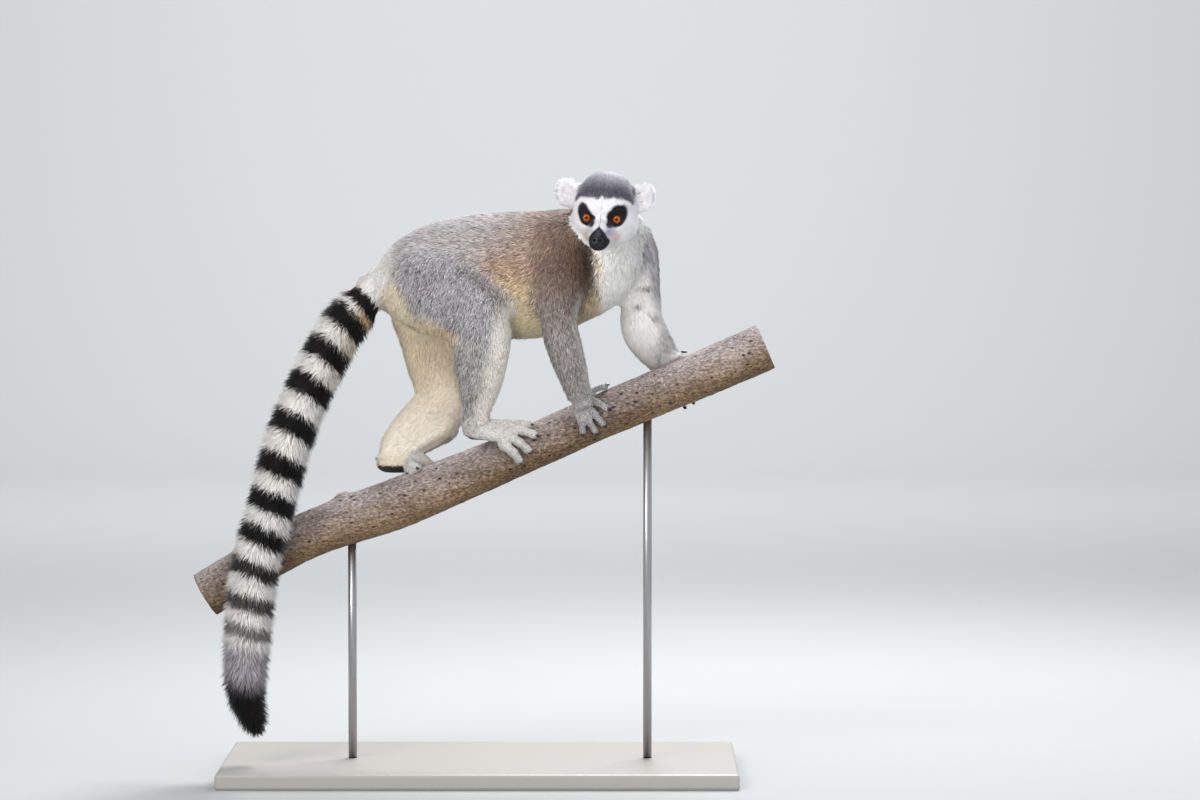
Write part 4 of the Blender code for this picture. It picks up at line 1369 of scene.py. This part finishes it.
def coat_tree():
    tree = bpy.data.node_groups.new("coat of tufts", "GeometryNodeTree")
    for name, kind in COAT_INPUTS.items():
        tree.interface.new_socket(name, in_out="INPUT", socket_type=kind)
    tree.interface.new_socket("Geometry", in_out="OUTPUT", socket_type="NodeSocketGeometry")
    given = add_node(tree, "NodeGroupInput").outputs

    def make(kind, inputs, out=0, **settings):
        return add_node(tree, kind, inputs, **settings).outputs[out]

    def attribute(name, kind="FLOAT"):
        return make("GeometryNodeInputNamedAttribute", {"Name": name}, data_type=kind)

    def vector(operation, *values, scale=1.0):
        return vector_maths(tree, operation, *values, scale=scale)

    def chance(low, high, seed_step):
        seed = maths(tree, "ADD", given["Seed"], seed_step)
        inputs = {2: low, 3: high, 8: seed}
        return make("FunctionNodeRandomValue", inputs, out=1, data_type="FLOAT")

    sides = {2: attribute("coat_region", "INT"), 3: given["Region"]}
    here = make("FunctionNodeCompare", sides, data_type="INT", operation="EQUAL")
    spread = {
        "Mesh": given["Geometry"],
        "Selection": here,
        "Density": attribute("hair_count"),
        "Seed": given["Seed"],
    }
    points = make("GeometryNodeDistributePointsOnFaces", spread, distribute_method="RANDOM")
    # The way of each tuft: the lie, a little chance, and a slow swirl that gathers them in locks
    inputs = {0: (-1, -1, -1), 1: (1, 1, 1), 8: maths(tree, "ADD", given["Seed"], 1.0)}
    random = make("FunctionNodeRandomValue", inputs, data_type="FLOAT_VECTOR")
    swirl = make("ShaderNodeTexNoise", {"Scale": SWIRL_SCALE, "Detail": 1.0}, out="Color")
    swirl = vector("SUBTRACT", swirl, (0.5, 0.5, 0.5))
    lie = attribute("lie", "FLOAT_VECTOR")
    way = vector("ADD", lie, vector("SCALE", random, scale=given["Scatter"]))
    way = vector("ADD", way, vector("SCALE", swirl, scale=given["Clumping"]))
    up = attribute("outward", "FLOAT_VECTOR")
    way = vector("NORMALIZE", vector("SUBTRACT", way, vector("PROJECT", way, up)))
    lift = maths(tree, "MULTIPLY", attribute("hair_lift"), chance(0.55, 1.45, 2.0))
    way = vector("SCALE", way, scale=maths(tree, "COSINE", lift))
    way = vector("ADD", way, vector("SCALE", up, scale=maths(tree, "SINE", lift)))
    turn = make("FunctionNodeAlignRotationToVector", {"Vector": way}, axis="Z")
    inputs = {"Rotation": turn, "Vector": up}
    turn = make("FunctionNodeAlignRotationToVector", inputs, axis="X", pivot_axis="Z")
    wide = maths(tree, "MULTIPLY", attribute("hair_width"), chance(0.75, 1.25, 3.0))
    long = maths(tree, "MULTIPLY", attribute("hair_length"), chance(0.72, 1.12, 4.0))
    size = make("ShaderNodeCombineXYZ", {0: wide, 1: wide, 2: long})
    shape = make("GeometryNodeObjectInfo", {"Object": given["Tuft"]}, out="Geometry")
    inputs = {"Points": points, "Instance": shape, "Rotation": turn, "Scale": size}
    tufts = make("GeometryNodeInstanceOnPoints", inputs)
    real = make("GeometryNodeRealizeInstances", {"Geometry": tufts})
    soft = make("GeometryNodeSetShadeSmooth", {0: real})
    done = make("GeometryNodeSetMaterial", {"Geometry": soft, "Material": given["Material"]})
    add_node(tree, "NodeGroupOutput", {"Geometry": done})
    return tree


COAT_TREE = coat_tree()


# %% Coat and skin materials
def new_material(name, **values):
    """A material with its Principled shader, and that shader's own sockets set."""
    made = bpy.data.materials.new(name)
    made.use_nodes = True
    shader = made.node_tree.nodes["Principled BSDF"]
    for key, value in values.items():
        shader.inputs[key.replace("_", " ")].default_value = value
    return made, shader.inputs


def coat_material(name):
    """Soft dull fur, its colour carried by the tufts."""
    made, shader = new_material(
        name, Roughness=0.62, Specular_IOR_Level=0.25, Sheen_Weight=0.15, Sheen_Roughness=0.4
    )
    colour = add_node(made.node_tree, "ShaderNodeAttribute", attribute_name="coat_colour")
    made.node_tree.links.new(colour.outputs["Color"], shader["Base Color"])
    return made


FURS = {
    "coat_white": coat_material("soft white fur"),
    "coat_brown": coat_material("rosy brown fur"),
    "coat_grey": coat_material("flecked grey fur"),
    "coat_ringed": coat_material("long ringed tail fur"),
}

# %% [markdown]
# Each coat carries a map of the skin laid flat, so that a bake can tell its tufts apart. The skin
# is unwrapped round the part's own middle line, and each tuft is a tiny patch at its root's place.

# %% Unwrap of each coat
AXES = {
    "coat_neck": ((0.105, -0.005, 0.585), (0.147, -0.035, 0.655)),
    "coat_back": ((0.035, 0, 0.570), (0.150, 0, 0.580)),
    "coat_rump": ((-0.120, 0, 0.565), (0.035, 0, 0.570)),
    "coat_arm_right": (
        (0.10, -0.04, 0.60),
        (0.112, -0.042, 0.47),
        (0.125, -0.036, 0.43),
        (0.145, -0.030, 0.405),
    ),
    "coat_arm_left": (
        (0.175, 0.04, 0.60),
        (0.195, 0.02, 0.51),
        (0.222, 0.024, 0.482),
        (0.245, 0.035, 0.455),
    ),
    "coat_leg_right": (
        (-0.06, -0.045, 0.58),
        (0.0, -0.045, 0.50),
        (-0.004, -0.02, 0.41),
        (0.06, -0.022, 0.398),
    ),
    "coat_leg_left": (
        (-0.07, 0.04, 0.56),
        (-0.055, 0.035, 0.45),
        (-0.11, 0.012, 0.37),
        (0.0, 0.025, 0.40),
    ),
    "coat_tail_upper": TAIL_LINE,
    "coat_tail_lower": TAIL_LINE,
}
PATCH = 0.0015  # half the width of a tuft's patch
UNWRAP_MIDDLE = (0, -0.010, -0.008)  # the middle of the head's unwrap, in its frame


def unwrap(name, roots):
    """Each root's place on the skin laid flat: round the part, and along it."""
    if name in ("coat_crown", "coat_face"):
        x, y, z = unit(in_head(roots) - UNWRAP_MIDDLE).T
        round_head = np.arctan2(x, -y) / math.tau + 0.5
        return np.stack((round_head, np.arccos(np.clip(-z, -1, 1)) / math.pi), 1)
    line = AXES[name]
    line = line if line is TAIL_LINE else spline(line, 12)
    along = np.r_[0, np.cumsum(np.linalg.norm(np.diff(line, axis=0), axis=1))]
    ahead = unit(np.gradient(line, axis=0))
    side = unit(np.cross(ahead, (0.2, 0.97, 0.1)))
    up = np.cross(side, ahead)
    shares = np.array_split(roots, max(1, len(roots) // 10000))
    near = [np.linalg.norm(part[:, None] - line[None], axis=2).argmin(1) for part in shares]
    near = np.concatenate(near)
    gap = roots - line[near]
    run = along[near] + dot(gap, ahead[near])
    turn = np.arctan2(dot(gap, up[near]), dot(gap, side[near]))
    low, high = run.min(), run.max()
    return np.stack((turn / math.tau + 0.5, (run - low) / (high - low)), 1)


def lay_patches(data, name, roots):
    """The OFBake map: a small patch for each tuft, at its root's place."""
    place = PATCH + unwrap(name, roots) * (1 - 2 * PATCH)
    shape = PATCH * np.array([(0, -1), (0.9, 0), (-0.9, 0), (0, 1)])
    flat = (place[:, None] + shape[None]).reshape(-1, 2)
    corners = read(data.loops, "vertex_index", 1, np.int32).ravel()
    layer = data.uv_layers.new(name="OFBake")
    layer.uv.foreach_set("vector", flat[corners].astype(np.float32).ravel())


# %% [markdown]
# The grey of the coat is really dark hairs among light ones, each darker at its root than at its
# tip. Every tuft takes its own shade, and its light is bent towards the skin's, which is what
# makes thousands of hard little blades look soft.

# %% Shades of the tufts
# How much the tufts' shades differ, and the share of them that are dark
FLECKS = {
    "coat_grey": (0.14, 0.16),
    "coat_brown": (0.15, 0.14),
    "coat_white": (0.07, 0.02),
    "coat_ringed": (0.10, 0.02),
}
DARK_FLECK = 0.42  # how bright a dark tuft is beside the others
BRIGHTNESS = (0.2, 0.7, 0.1)
MID_SHADE, TIP_SHADE = 0.95, 1.07


def shaded(colours, finish, draws):
    """Each tuft's colour from its root to its tip, with some tufts dark among the light."""
    spread, share = FLECKS[finish]
    bright = colours @ BRIGHTNESS
    spread = spread * (1 + 1.6 * step(bright, 0.03, 0.10) * (1 - step(bright, 0.30, 0.55)))
    shade = np.exp(draws.normal(0, 1, len(colours)) * spread)
    flecked = draws.random(len(colours)) < share * (1 - step(bright, 0.45, 0.75))
    shade = np.clip(shade * np.where(flecked, DARK_FLECK, 1), 0.25, 1.7)
    root = 0.66 + 0.32 * step(bright, 0.25, 0.75)
    mid, tip = np.full_like(root, MID_SHADE), np.full_like(root, TIP_SHADE)
    along = np.stack((root, mid, mid, tip), 1)
    return (colours[:, None] * shade[:, None, None] * along[:, :, None]).reshape(-1, 3)


SOFTNESS = 0.65  # the skin's share in how a tuft takes the light


def soften_shading(data, ways):
    """Lets each tuft take the light much as the skin under it does, so that the coat looks soft."""
    way = SOFTNESS * np.repeat(ways, TUFT_CORNERS, axis=0) + (1 - SOFTNESS) * normals_of(data)
    data.normals_split_custom_set_from_vertices([tuple(v) for v in unit(way)])


# %% Grow the coat, one piece for each part of the body
KEPT_LAYERS = ("position", "material_index", "sharp_face", "shade_smooth")


def grow(name, number):
    """One coat piece: its tufts as one mesh, coloured from root to tip."""
    finish = COATS[name][0]
    piece = new_object(name, skin.data)
    grown = piece.modifiers.new("coat", "NODES")
    grown.node_group = COAT_TREE
    values = {
        "Region": number,
        "Seed": 11 + number * 10,
        "Tuft": tuft,
        "Scatter": 0.30 if finish in ("coat_white", "coat_ringed") else 0.52,
        "Clumping": 1.0,
        "Material": FURS[finish],
    }
    for socket in COAT_TREE.interface.items_tree:
        if socket.in_out == "INPUT" and socket.name in values:
            grown[socket.identifier] = values[socket.name]
    data = baked(piece)
    corners = points_of(data)
    roots = corners[::TUFT_CORNERS]
    draws = np.random.default_rng(number)
    ways = read(data.attributes["outward"].data, "vector", 3)[::TUFT_CORNERS].astype(float)
    parts = mingled(roots, node_numbers(roots), draws)
    colours = shaded(markings(roots, parts, ways), finish, draws)
    for layer in [a.name for a in data.attributes if not a.is_internal]:
        if layer not in KEPT_LAYERS:
            data.attributes.remove(data.attributes[layer])
    set_attribute(data, "coat_colour", "FLOAT_COLOR", with_alpha(np.clip(colours, 0, 1)))
    lay_patches(data, name, roots)
    soften_shading(data, ways)
    print(f"{name}: {len(roots)} tufts, {len(data.polygons)} triangles")
    return piece


coats = [grow(name, number) for number, name in enumerate(COATS)]
bpy.data.objects.remove(tuft)

# %% [markdown]
# ## The skin's finish
# Where the fur parts, the skin under it is seen, so it carries the same markings, a little darker.
# The nose is black and moist, and the lids, lips, palms and soles are bare black skin.

# %% Colour the skin
def skin_material():
    made, shader = new_material("skin under the fur", Specular_IOR_Level=0.4)
    tree = made.node_tree
    colour = add_node(tree, "ShaderNodeAttribute", attribute_name="coat_colour")
    tree.links.new(colour.outputs["Color"], shader["Base Color"])
    damp = add_node(tree, "ShaderNodeAttribute", attribute_name="dampness")
    rough = mapped(tree, damp.outputs["Fac"], 0.0, 1.0, 0.70, 0.26)
    tree.links.new(rough, shader["Roughness"])
    grain = add_node(tree, "ShaderNodeTexVoronoi", {"Vector": object_place(tree), "Scale": 1800.0})
    relief = {"Height": grain.outputs["Distance"], "Strength": 0.25, "Distance": 0.0003}
    tree.links.new(add_node(tree, "ShaderNodeBump", relief).outputs[0], shader["Normal"])
    return made


colours = markings(points, numbers, outward)
colours *= (0.60 + 0.35 * step(colours @ BRIGHTNESS, 0.25, 0.75))[:, None]
lids = on_head * (1 - step(off_gaze, 56, 64)) * (1 - step(eye_gap, 11.0, 13.0))
paint(colours, "#121012", lids)
paint(colours, "#161417", pad)
sole = palm * (0.25 + 0.75 * step(faces_bark, 0.0, 0.4))
forefoot = far_foot * step(points[:, 0], -0.084, -0.074)
paint(colours, "#2b2624", sole * (1 - 0.8 * forefoot))
set_attribute(skin.data, "coat_colour", "FLOAT_COLOR", with_alpha(colours))
wet_rims = 0.4 * lids * (1 - step(off_gaze, 38, 42))
set_attribute(skin.data, "dampness", "FLOAT", np.maximum(pad, wet_rims))
for name in ("coat_region", "outward", "lie", *("hair_" + name for name in HAIR)):
    skin.data.attributes.remove(skin.data.attributes[name])
skin.data.materials.clear()
skin.data.materials.append(skin_material())
skin.name = "skin"

# %% [markdown]
# ## Eyes and nails
# A ring-tailed lemur's eye is nearly all iris: deep orange, darker at its rim, round a small black
# pupil in daylight. The ball is opaque, with a raised cornea, and its clear coat gives the wet
# shine.

# %% Eyeballs
IRIS = 38.0  # degrees from the middle of the gaze to the rim of the iris
PUPIL = 10.0
CORNEA = 0.0006  # how far it stands out


def eyeball(name, side):
    """A ball whose pole looks ahead, with a UV of the turn round the pole and the angle off it."""
    mesh = bmesh.new()
    uv = mesh.loops.layers.uv.new("turn and angle")
    sides, rings = 64, 48
    centre = Vector((side * EYE_PLACE.x, EYE_PLACE.y, EYE_PLACE.z))
    rows, spots = [], {}
    for ring in range(rings + 1):
        off = math.pi * (ring / rings) ** 1.35
        radius = EYE_RADIUS + CORNEA * float(1 - step(math.degrees(off), 8, 40))
        rows.append([])
        for k in range(sides + 1):
            turn = math.tau * k / sides
            across = math.sin(off)
            way = Vector((across * math.cos(turn), -math.cos(off), across * math.sin(turn)))
            vert = mesh.verts.new(HEAD @ (centre + way * radius))
            spots[vert] = (k / sides, off / math.pi)
            rows[-1].append(vert)
    bridge(mesh, rows, closed=False)
    for face in mesh.faces:
        for loop in face.loops:
            loop[uv].uv = spots[loop.vert]
    bmesh.ops.remove_doubles(mesh, verts=mesh.verts, dist=1e-7)
    bmesh.ops.recalc_face_normals(mesh, faces=mesh.faces)
    return finished(mesh, name)


def eye_material():
    made, shader = new_material(
        "wet orange eye",
        Roughness=0.5,
        Specular_IOR_Level=0.0,
        Coat_Weight=1.0,
        Coat_Roughness=0.03,
        Coat_IOR=1.33,
    )
    tree = made.node_tree
    place = add_node(tree, "ShaderNodeUVMap", uv_map="turn and angle").outputs[0]
    angle = add_node(tree, "ShaderNodeSeparateXYZ", {0: place}).outputs[1]
    streaks = vector_maths(tree, "MULTIPLY", place, (70, 14, 1))
    wobble = maths(tree, "SUBTRACT", noise_of(tree, streaks, 1.0, 3.0), 0.5)
    angle = maths(tree, "ADD", angle, maths(tree, "MULTIPLY", wobble, 0.030))
    stops = (
        (0, "#050404"),
        (PUPIL - 0.6, "#050404"),
        (PUPIL + 1.0, "#642a0b"),
        (PUPIL + 7, "#ae5a18"),
        (IRIS - 12, "#8b4513"),
        (IRIS - 3.5, "#5c290c"),
        (IRIS, "#120b08"),
    )
    colour = colour_ramp(tree, angle, [(degrees / 180, code) for degrees, code in stops])
    tree.links.new(colour, shader["Base Color"])
    return made


EYE_FINISH = eye_material()
eyes = {1: eyeball("eyeball_left", 1), -1: eyeball("eyeball_right", -1)}
for ball in eyes.values():
    ball.data.materials.append(EYE_FINISH)
print("eyeballs:", *(ball.name for ball in eyes.values()))

# %% Nails
NAIL_SIZE = (0.0040, 0.0023, 0.0015)  # half the length, width and depth


def nails():
    """A narrow curved nail on the back of every digit's tip."""
    mesh = bmesh.new()
    for places in (places for hand in DIGITS.values() for places in hand):
        line = digit_line(places)
        tip, before = Vector(line[-1]), Vector(line[-5])
        ahead = (tip - before).normalized()
        centre = perch_at(tip.x)[0]
        up = (tip - centre).normalized()
        up = (up - up.project(ahead)).normalized()
        across = ahead.cross(up)
        turn = Matrix((ahead, across, up)).transposed().to_4x4()
        turn.translation = tip + up * 0.0021 - ahead * 0.0004
        shape = turn @ Matrix.Diagonal((*NAIL_SIZE, 1))
        bmesh.ops.create_uvsphere(mesh, u_segments=16, v_segments=10, radius=1, matrix=shape)
    return finished(mesh, "nails")


claws = nails()
horn = new_material("dark horn nails", Base_Color=(*linear("#2a2422"), 1), Roughness=0.35)[0]
claws.data.materials.append(horn)
print("nails:", sum(len(hand) for hand in DIGITS.values()))

# %% [markdown]
# ## The branch
# The branch is one swept skin of bark over the frame's perch: long shallow ridges, a bud knot, an
# old round scar, and sawn ends.

# %% Bark on the perch
BARK_SIDES = 160
BARK_STEP = 0.002
# Place along the branch, degrees round it, size and rise of each knot; the first is the bud
KNOTS = (
    (-0.152, 4, 0.008, 0.0060),
    (-0.111, 62, 0.011, 0.0036),
    (0.185, 40, 0.009, 0.0020),
    (-0.235, 75, 0.010, 0.0024),
)
# Shares of the radius at which the rings of a sawn end lie, and where the wood itself starts
END_RINGS = (0.97, 0.965, 0.6, 0.3)
WOOD_START = 0.968


def bark_height(x, turn, radius):
    """How far the bark stands out at x along the branch and turn round it."""
    round_place = Vector((math.cos(turn), math.sin(turn), 0)) * radius
    long = noise.fractal(Vector((x * 22, 0, 0)) + round_place * 130, 1, 2, 4)
    fine = noise.noise(Vector((x * 190, 3, 1)) + round_place * 420)
    height = 0.0008 * long + 0.0004 * fine
    for spot, degrees, size, rise in KNOTS:
        away = math.hypot(x - spot, (turn - math.radians(degrees)) * radius)
        if away < 3 * size:
            height += rise * float(bell(away, 0, size) - 0.55 * bell(away, 0, 0.38 * size))
    return height


def bark_piece():
    mesh = bmesh.new()
    sawn = mesh.verts.layers.float.new("sawn")
    ends = PERCH_LINE[0, 0], PERCH_LINE[-1, 0]
    rows = []
    for x in np.arange(ends[0], ends[1] + BARK_STEP / 2, BARK_STEP):
        centre, ahead, radius = perch_at(x)
        over = ahead.cross(Vector((0, 1, 0)))
        row = []
        for k in range(BARK_SIDES):
            turn = math.tau * k / BARK_SIDES
            signed = turn if turn < math.pi else turn - math.tau
            out = over * math.cos(turn) + Vector((0, NEAR, 0)) * math.sin(turn)
            row.append(mesh.verts.new(centre + out * (radius + bark_height(x, signed, radius))))
        rows.append(row)
    bridge(mesh, rows)
    for row in (rows[0], rows[-1]):
        centre = sum((v.co for v in row), Vector()) / BARK_SIDES
        rings = [row]
        for share in END_RINGS:
            rings.append([mesh.verts.new(centre + (v.co - centre) * share) for v in row])
            for vert in rings[-1]:
                vert[sawn] = float(share < WOOD_START)
        bridge(mesh, rings)
        hub = mesh.verts.new(centre)
        hub[sawn] = 1.0
        last = rings[-1]
        for pair in zip(last, last[1:] + last[:1]):
            mesh.faces.new((*pair, hub))
    bmesh.ops.recalc_face_normals(mesh, faces=mesh.faces)
    return finished(mesh, "branch")


def bark_material():
    made, shader = new_material("thin grey-brown bark", Roughness=0.85, Specular_IOR_Level=0.25)
    tree = made.node_tree
    along = vector_maths(tree, "MULTIPLY", object_place(tree), (0.45, 1, 0.8))
    grain = noise_of(tree, along, 520.0, 6.0, 0.75)
    tone = maths(tree, "MULTIPLY", noise_of(tree, along, 26.0, 4.0), 0.28)
    tone = maths(tree, "MULTIPLY_ADD", grain, 0.72, tone)
    # Grey above, and browner and darker below
    normal = add_node(tree, "ShaderNodeTexCoord").outputs["Normal"]
    height = add_node(tree, "ShaderNodeSeparateXYZ", {0: normal}).outputs[2]
    spots = (0.38, 0.47, 0.53, 0.62)
    grey, brown = (
        colour_ramp(tree, tone, list(zip(spots, codes)))
        for codes in (
            ("#524843", "#7c716d", "#968b88", "#beb6b4"),
            ("#3a2b20", "#5e4b38", "#7b654c", "#9c866c"),
        )
    )
    bark = mix(tree, mapped(tree, height, -0.5, 0.7), brown, grey)
    pores = add_node(tree, "ShaderNodeTexVoronoi", {"Vector": along, "Scale": 150.0})
    pores = mapped(tree, pores.outputs["Distance"], 0.08, 0.22)
    bark = mix(tree, pores, "#261d18", bark)
    cut = add_node(tree, "ShaderNodeAttribute", attribute_name="sawn").outputs["Fac"]
    tree.links.new(mix(tree, cut, bark, "#b79f84"), shader["Base Color"])
    relief = {"Height": grain, "Strength": 1.0, "Distance": 0.0014}
    bump = add_node(tree, "ShaderNodeBump", relief).outputs[0]
    relief = {"Height": pores, "Strength": 0.5, "Distance": 0.001, "Normal": bump}
    tree.links.new(add_node(tree, "ShaderNodeBump", relief).outputs[0], shader["Normal"])
    return made


branch = bark_piece()
branch.data.materials.append(bark_material())
print("branch:", len(branch.data.polygons), "faces")

# %% [markdown]
# ## The stand
# In the wild the branch is part of a tree. Here it is cut to length and carried by two plain steel
# rods on a painted board.

# %% Rods and board
def rod_piece(name, node):
    """A smooth round rod in the place of a faceted one."""
    low, high = (Vector(corner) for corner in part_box(node))
    mesh = bmesh.new()
    centre = (low + high) / 2
    size = high - low
    bmesh.ops.create_cone(
        mesh,
        cap_ends=True,
        segments=48,
        radius1=size.x / 2,
        radius2=size.x / 2,
        depth=size.z,
        matrix=Matrix.Translation(centre),
    )
    for face in mesh.faces:
        face.smooth = len(face.verts) == 4
    return finished(mesh, name, smooth=False)


def steel_material():
    made, shader = new_material("brushed steel rod", Base_Color=(0.45, 0.45, 0.46, 1), Metallic=1.0)
    tree = made.node_tree
    lines = vector_maths(tree, "MULTIPLY", object_place(tree), (30, 30, 900))
    rough = mapped(tree, noise_of(tree, lines, 1.0, 2.0), 0.0, 1.0, 0.28, 0.46)
    tree.links.new(rough, shader["Roughness"])
    return made


steel = steel_material()
rods = {}
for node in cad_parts:
    if node.startswith("stand_rod"):
        rods[node] = rod_piece(node.replace("stand_", "steel_"), node)
        rods[node].data.materials.append(steel)
board = new_material("satin painted board", Base_Color=(*linear("#96928d"), 1), Roughness=0.45)[0]
for node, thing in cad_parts.items():
    if node.startswith("stand_") and node not in rods:
        thing.material_slots[0].material = board
print("rods:", len(rods))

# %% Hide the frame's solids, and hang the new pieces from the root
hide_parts(*FLESH)
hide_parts("eye_left")
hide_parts("eye_right")
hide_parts("perch")
for node, rod in rods.items():
    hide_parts(node)
for piece in (skin, branch, claws, *eyes.values(), *coats, *rods.values()):
    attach(piece, "root")

# %% [markdown]
# ## Floor, light and camera
# The floor and the wall behind are one pale sweep. A large soft light stands high on the left, a
# wide weak one fills from the right, a low one lifts the underside, one behind draws a light
# edge on the fur, and a last one lights the backdrop. Only the key and the rim show in the eyes.

# %% Floor and backdrop
BEND = 2.0  # radius of the curve between the floor and the wall


def sweep():
    mesh = bmesh.new()
    back, rise, wide = 7.0, 7.0, 8.0
    profile = [(-7.0, 0.0), (back - BEND, 0.0)]
    turns = np.linspace(0, math.pi / 2, 24)[1:]
    profile += [(back - BEND + BEND * math.sin(t), BEND - BEND * math.cos(t)) for t in turns]
    profile.append((back, rise))
    rows = [[mesh.verts.new((x, y, z)) for x in (-wide, wide)] for y, z in profile]
    bridge(mesh, rows, closed=False)
    return finished(mesh, "floor_sweep")


floor = sweep()
paper = new_material("pale studio paper", Base_Color=(0.37, 0.38, 0.38, 1), Roughness=0.9)[0]
floor.data.materials.append(paper)
print("floor:", len(floor.data.polygons), "faces")


# %% Lights
def facing(place, target):
    """The turn that points a light or a camera at its target."""
    return (target - place).to_track_quat("-Z", "Y").to_euler()


def add_light(name, place, target, size, power, colour=(1, 1, 1), shine=True):
    light = bpy.data.lights.new(name, "AREA")
    light.size = size
    light.energy = power
    light.color = colour
    thing = new_object(name, light)
    thing.location = place
    thing.visible_glossy = shine
    thing.rotation_euler = facing(Vector(place), Vector(target))


MIDDLE = Vector((0.02, 0, 0.42))
add_light("key", (-1.3, -1.9, 2.1), MIDDLE, 1.1, 42, (1.0, 0.98, 0.95))
add_light("fill", (2.0, -1.8, 1.0), MIDDLE, 2.0, 32, (0.95, 0.97, 1.0), shine=False)
add_light("low", (-0.9, -3.5, 0.62), MIDDLE, 1.1, 46, (1.0, 0.99, 0.96), shine=False)
add_light("rim", (0.5, 1.3, 2.0), MIDDLE, 1.2, 80)
add_light("backdrop", (0, 3.6, 3.4), (0, 7.0, 1.2), 3.0, 230, shine=False)
world = bpy.data.worlds.new("studio")
world.use_nodes = True
sky = world.node_tree.nodes["Background"].inputs
sky["Color"].default_value = (0.90, 0.93, 1.0, 1)
sky["Strength"].default_value = 0.70
bpy.context.scene.world = world
bpy.context.scene.view_settings.view_transform = "Standard"
print("lights:", len(bpy.data.lights))

# %% Camera
AIM = Vector((0.1404, 0, 0.4388))
DISTANCE = 5.265
ELEVATION = math.radians(3)
lens = bpy.data.cameras.new("camera")
lens.lens = 135
lens.sensor_width = 36
camera = new_object("camera", lens)
camera.location = AIM + DISTANCE * Vector((0, -math.cos(ELEVATION), math.sin(ELEVATION)))
camera.rotation_euler = facing(camera.location, AIM)
bpy.context.scene.camera = camera
print("camera:", lens.lens, "mm lens")
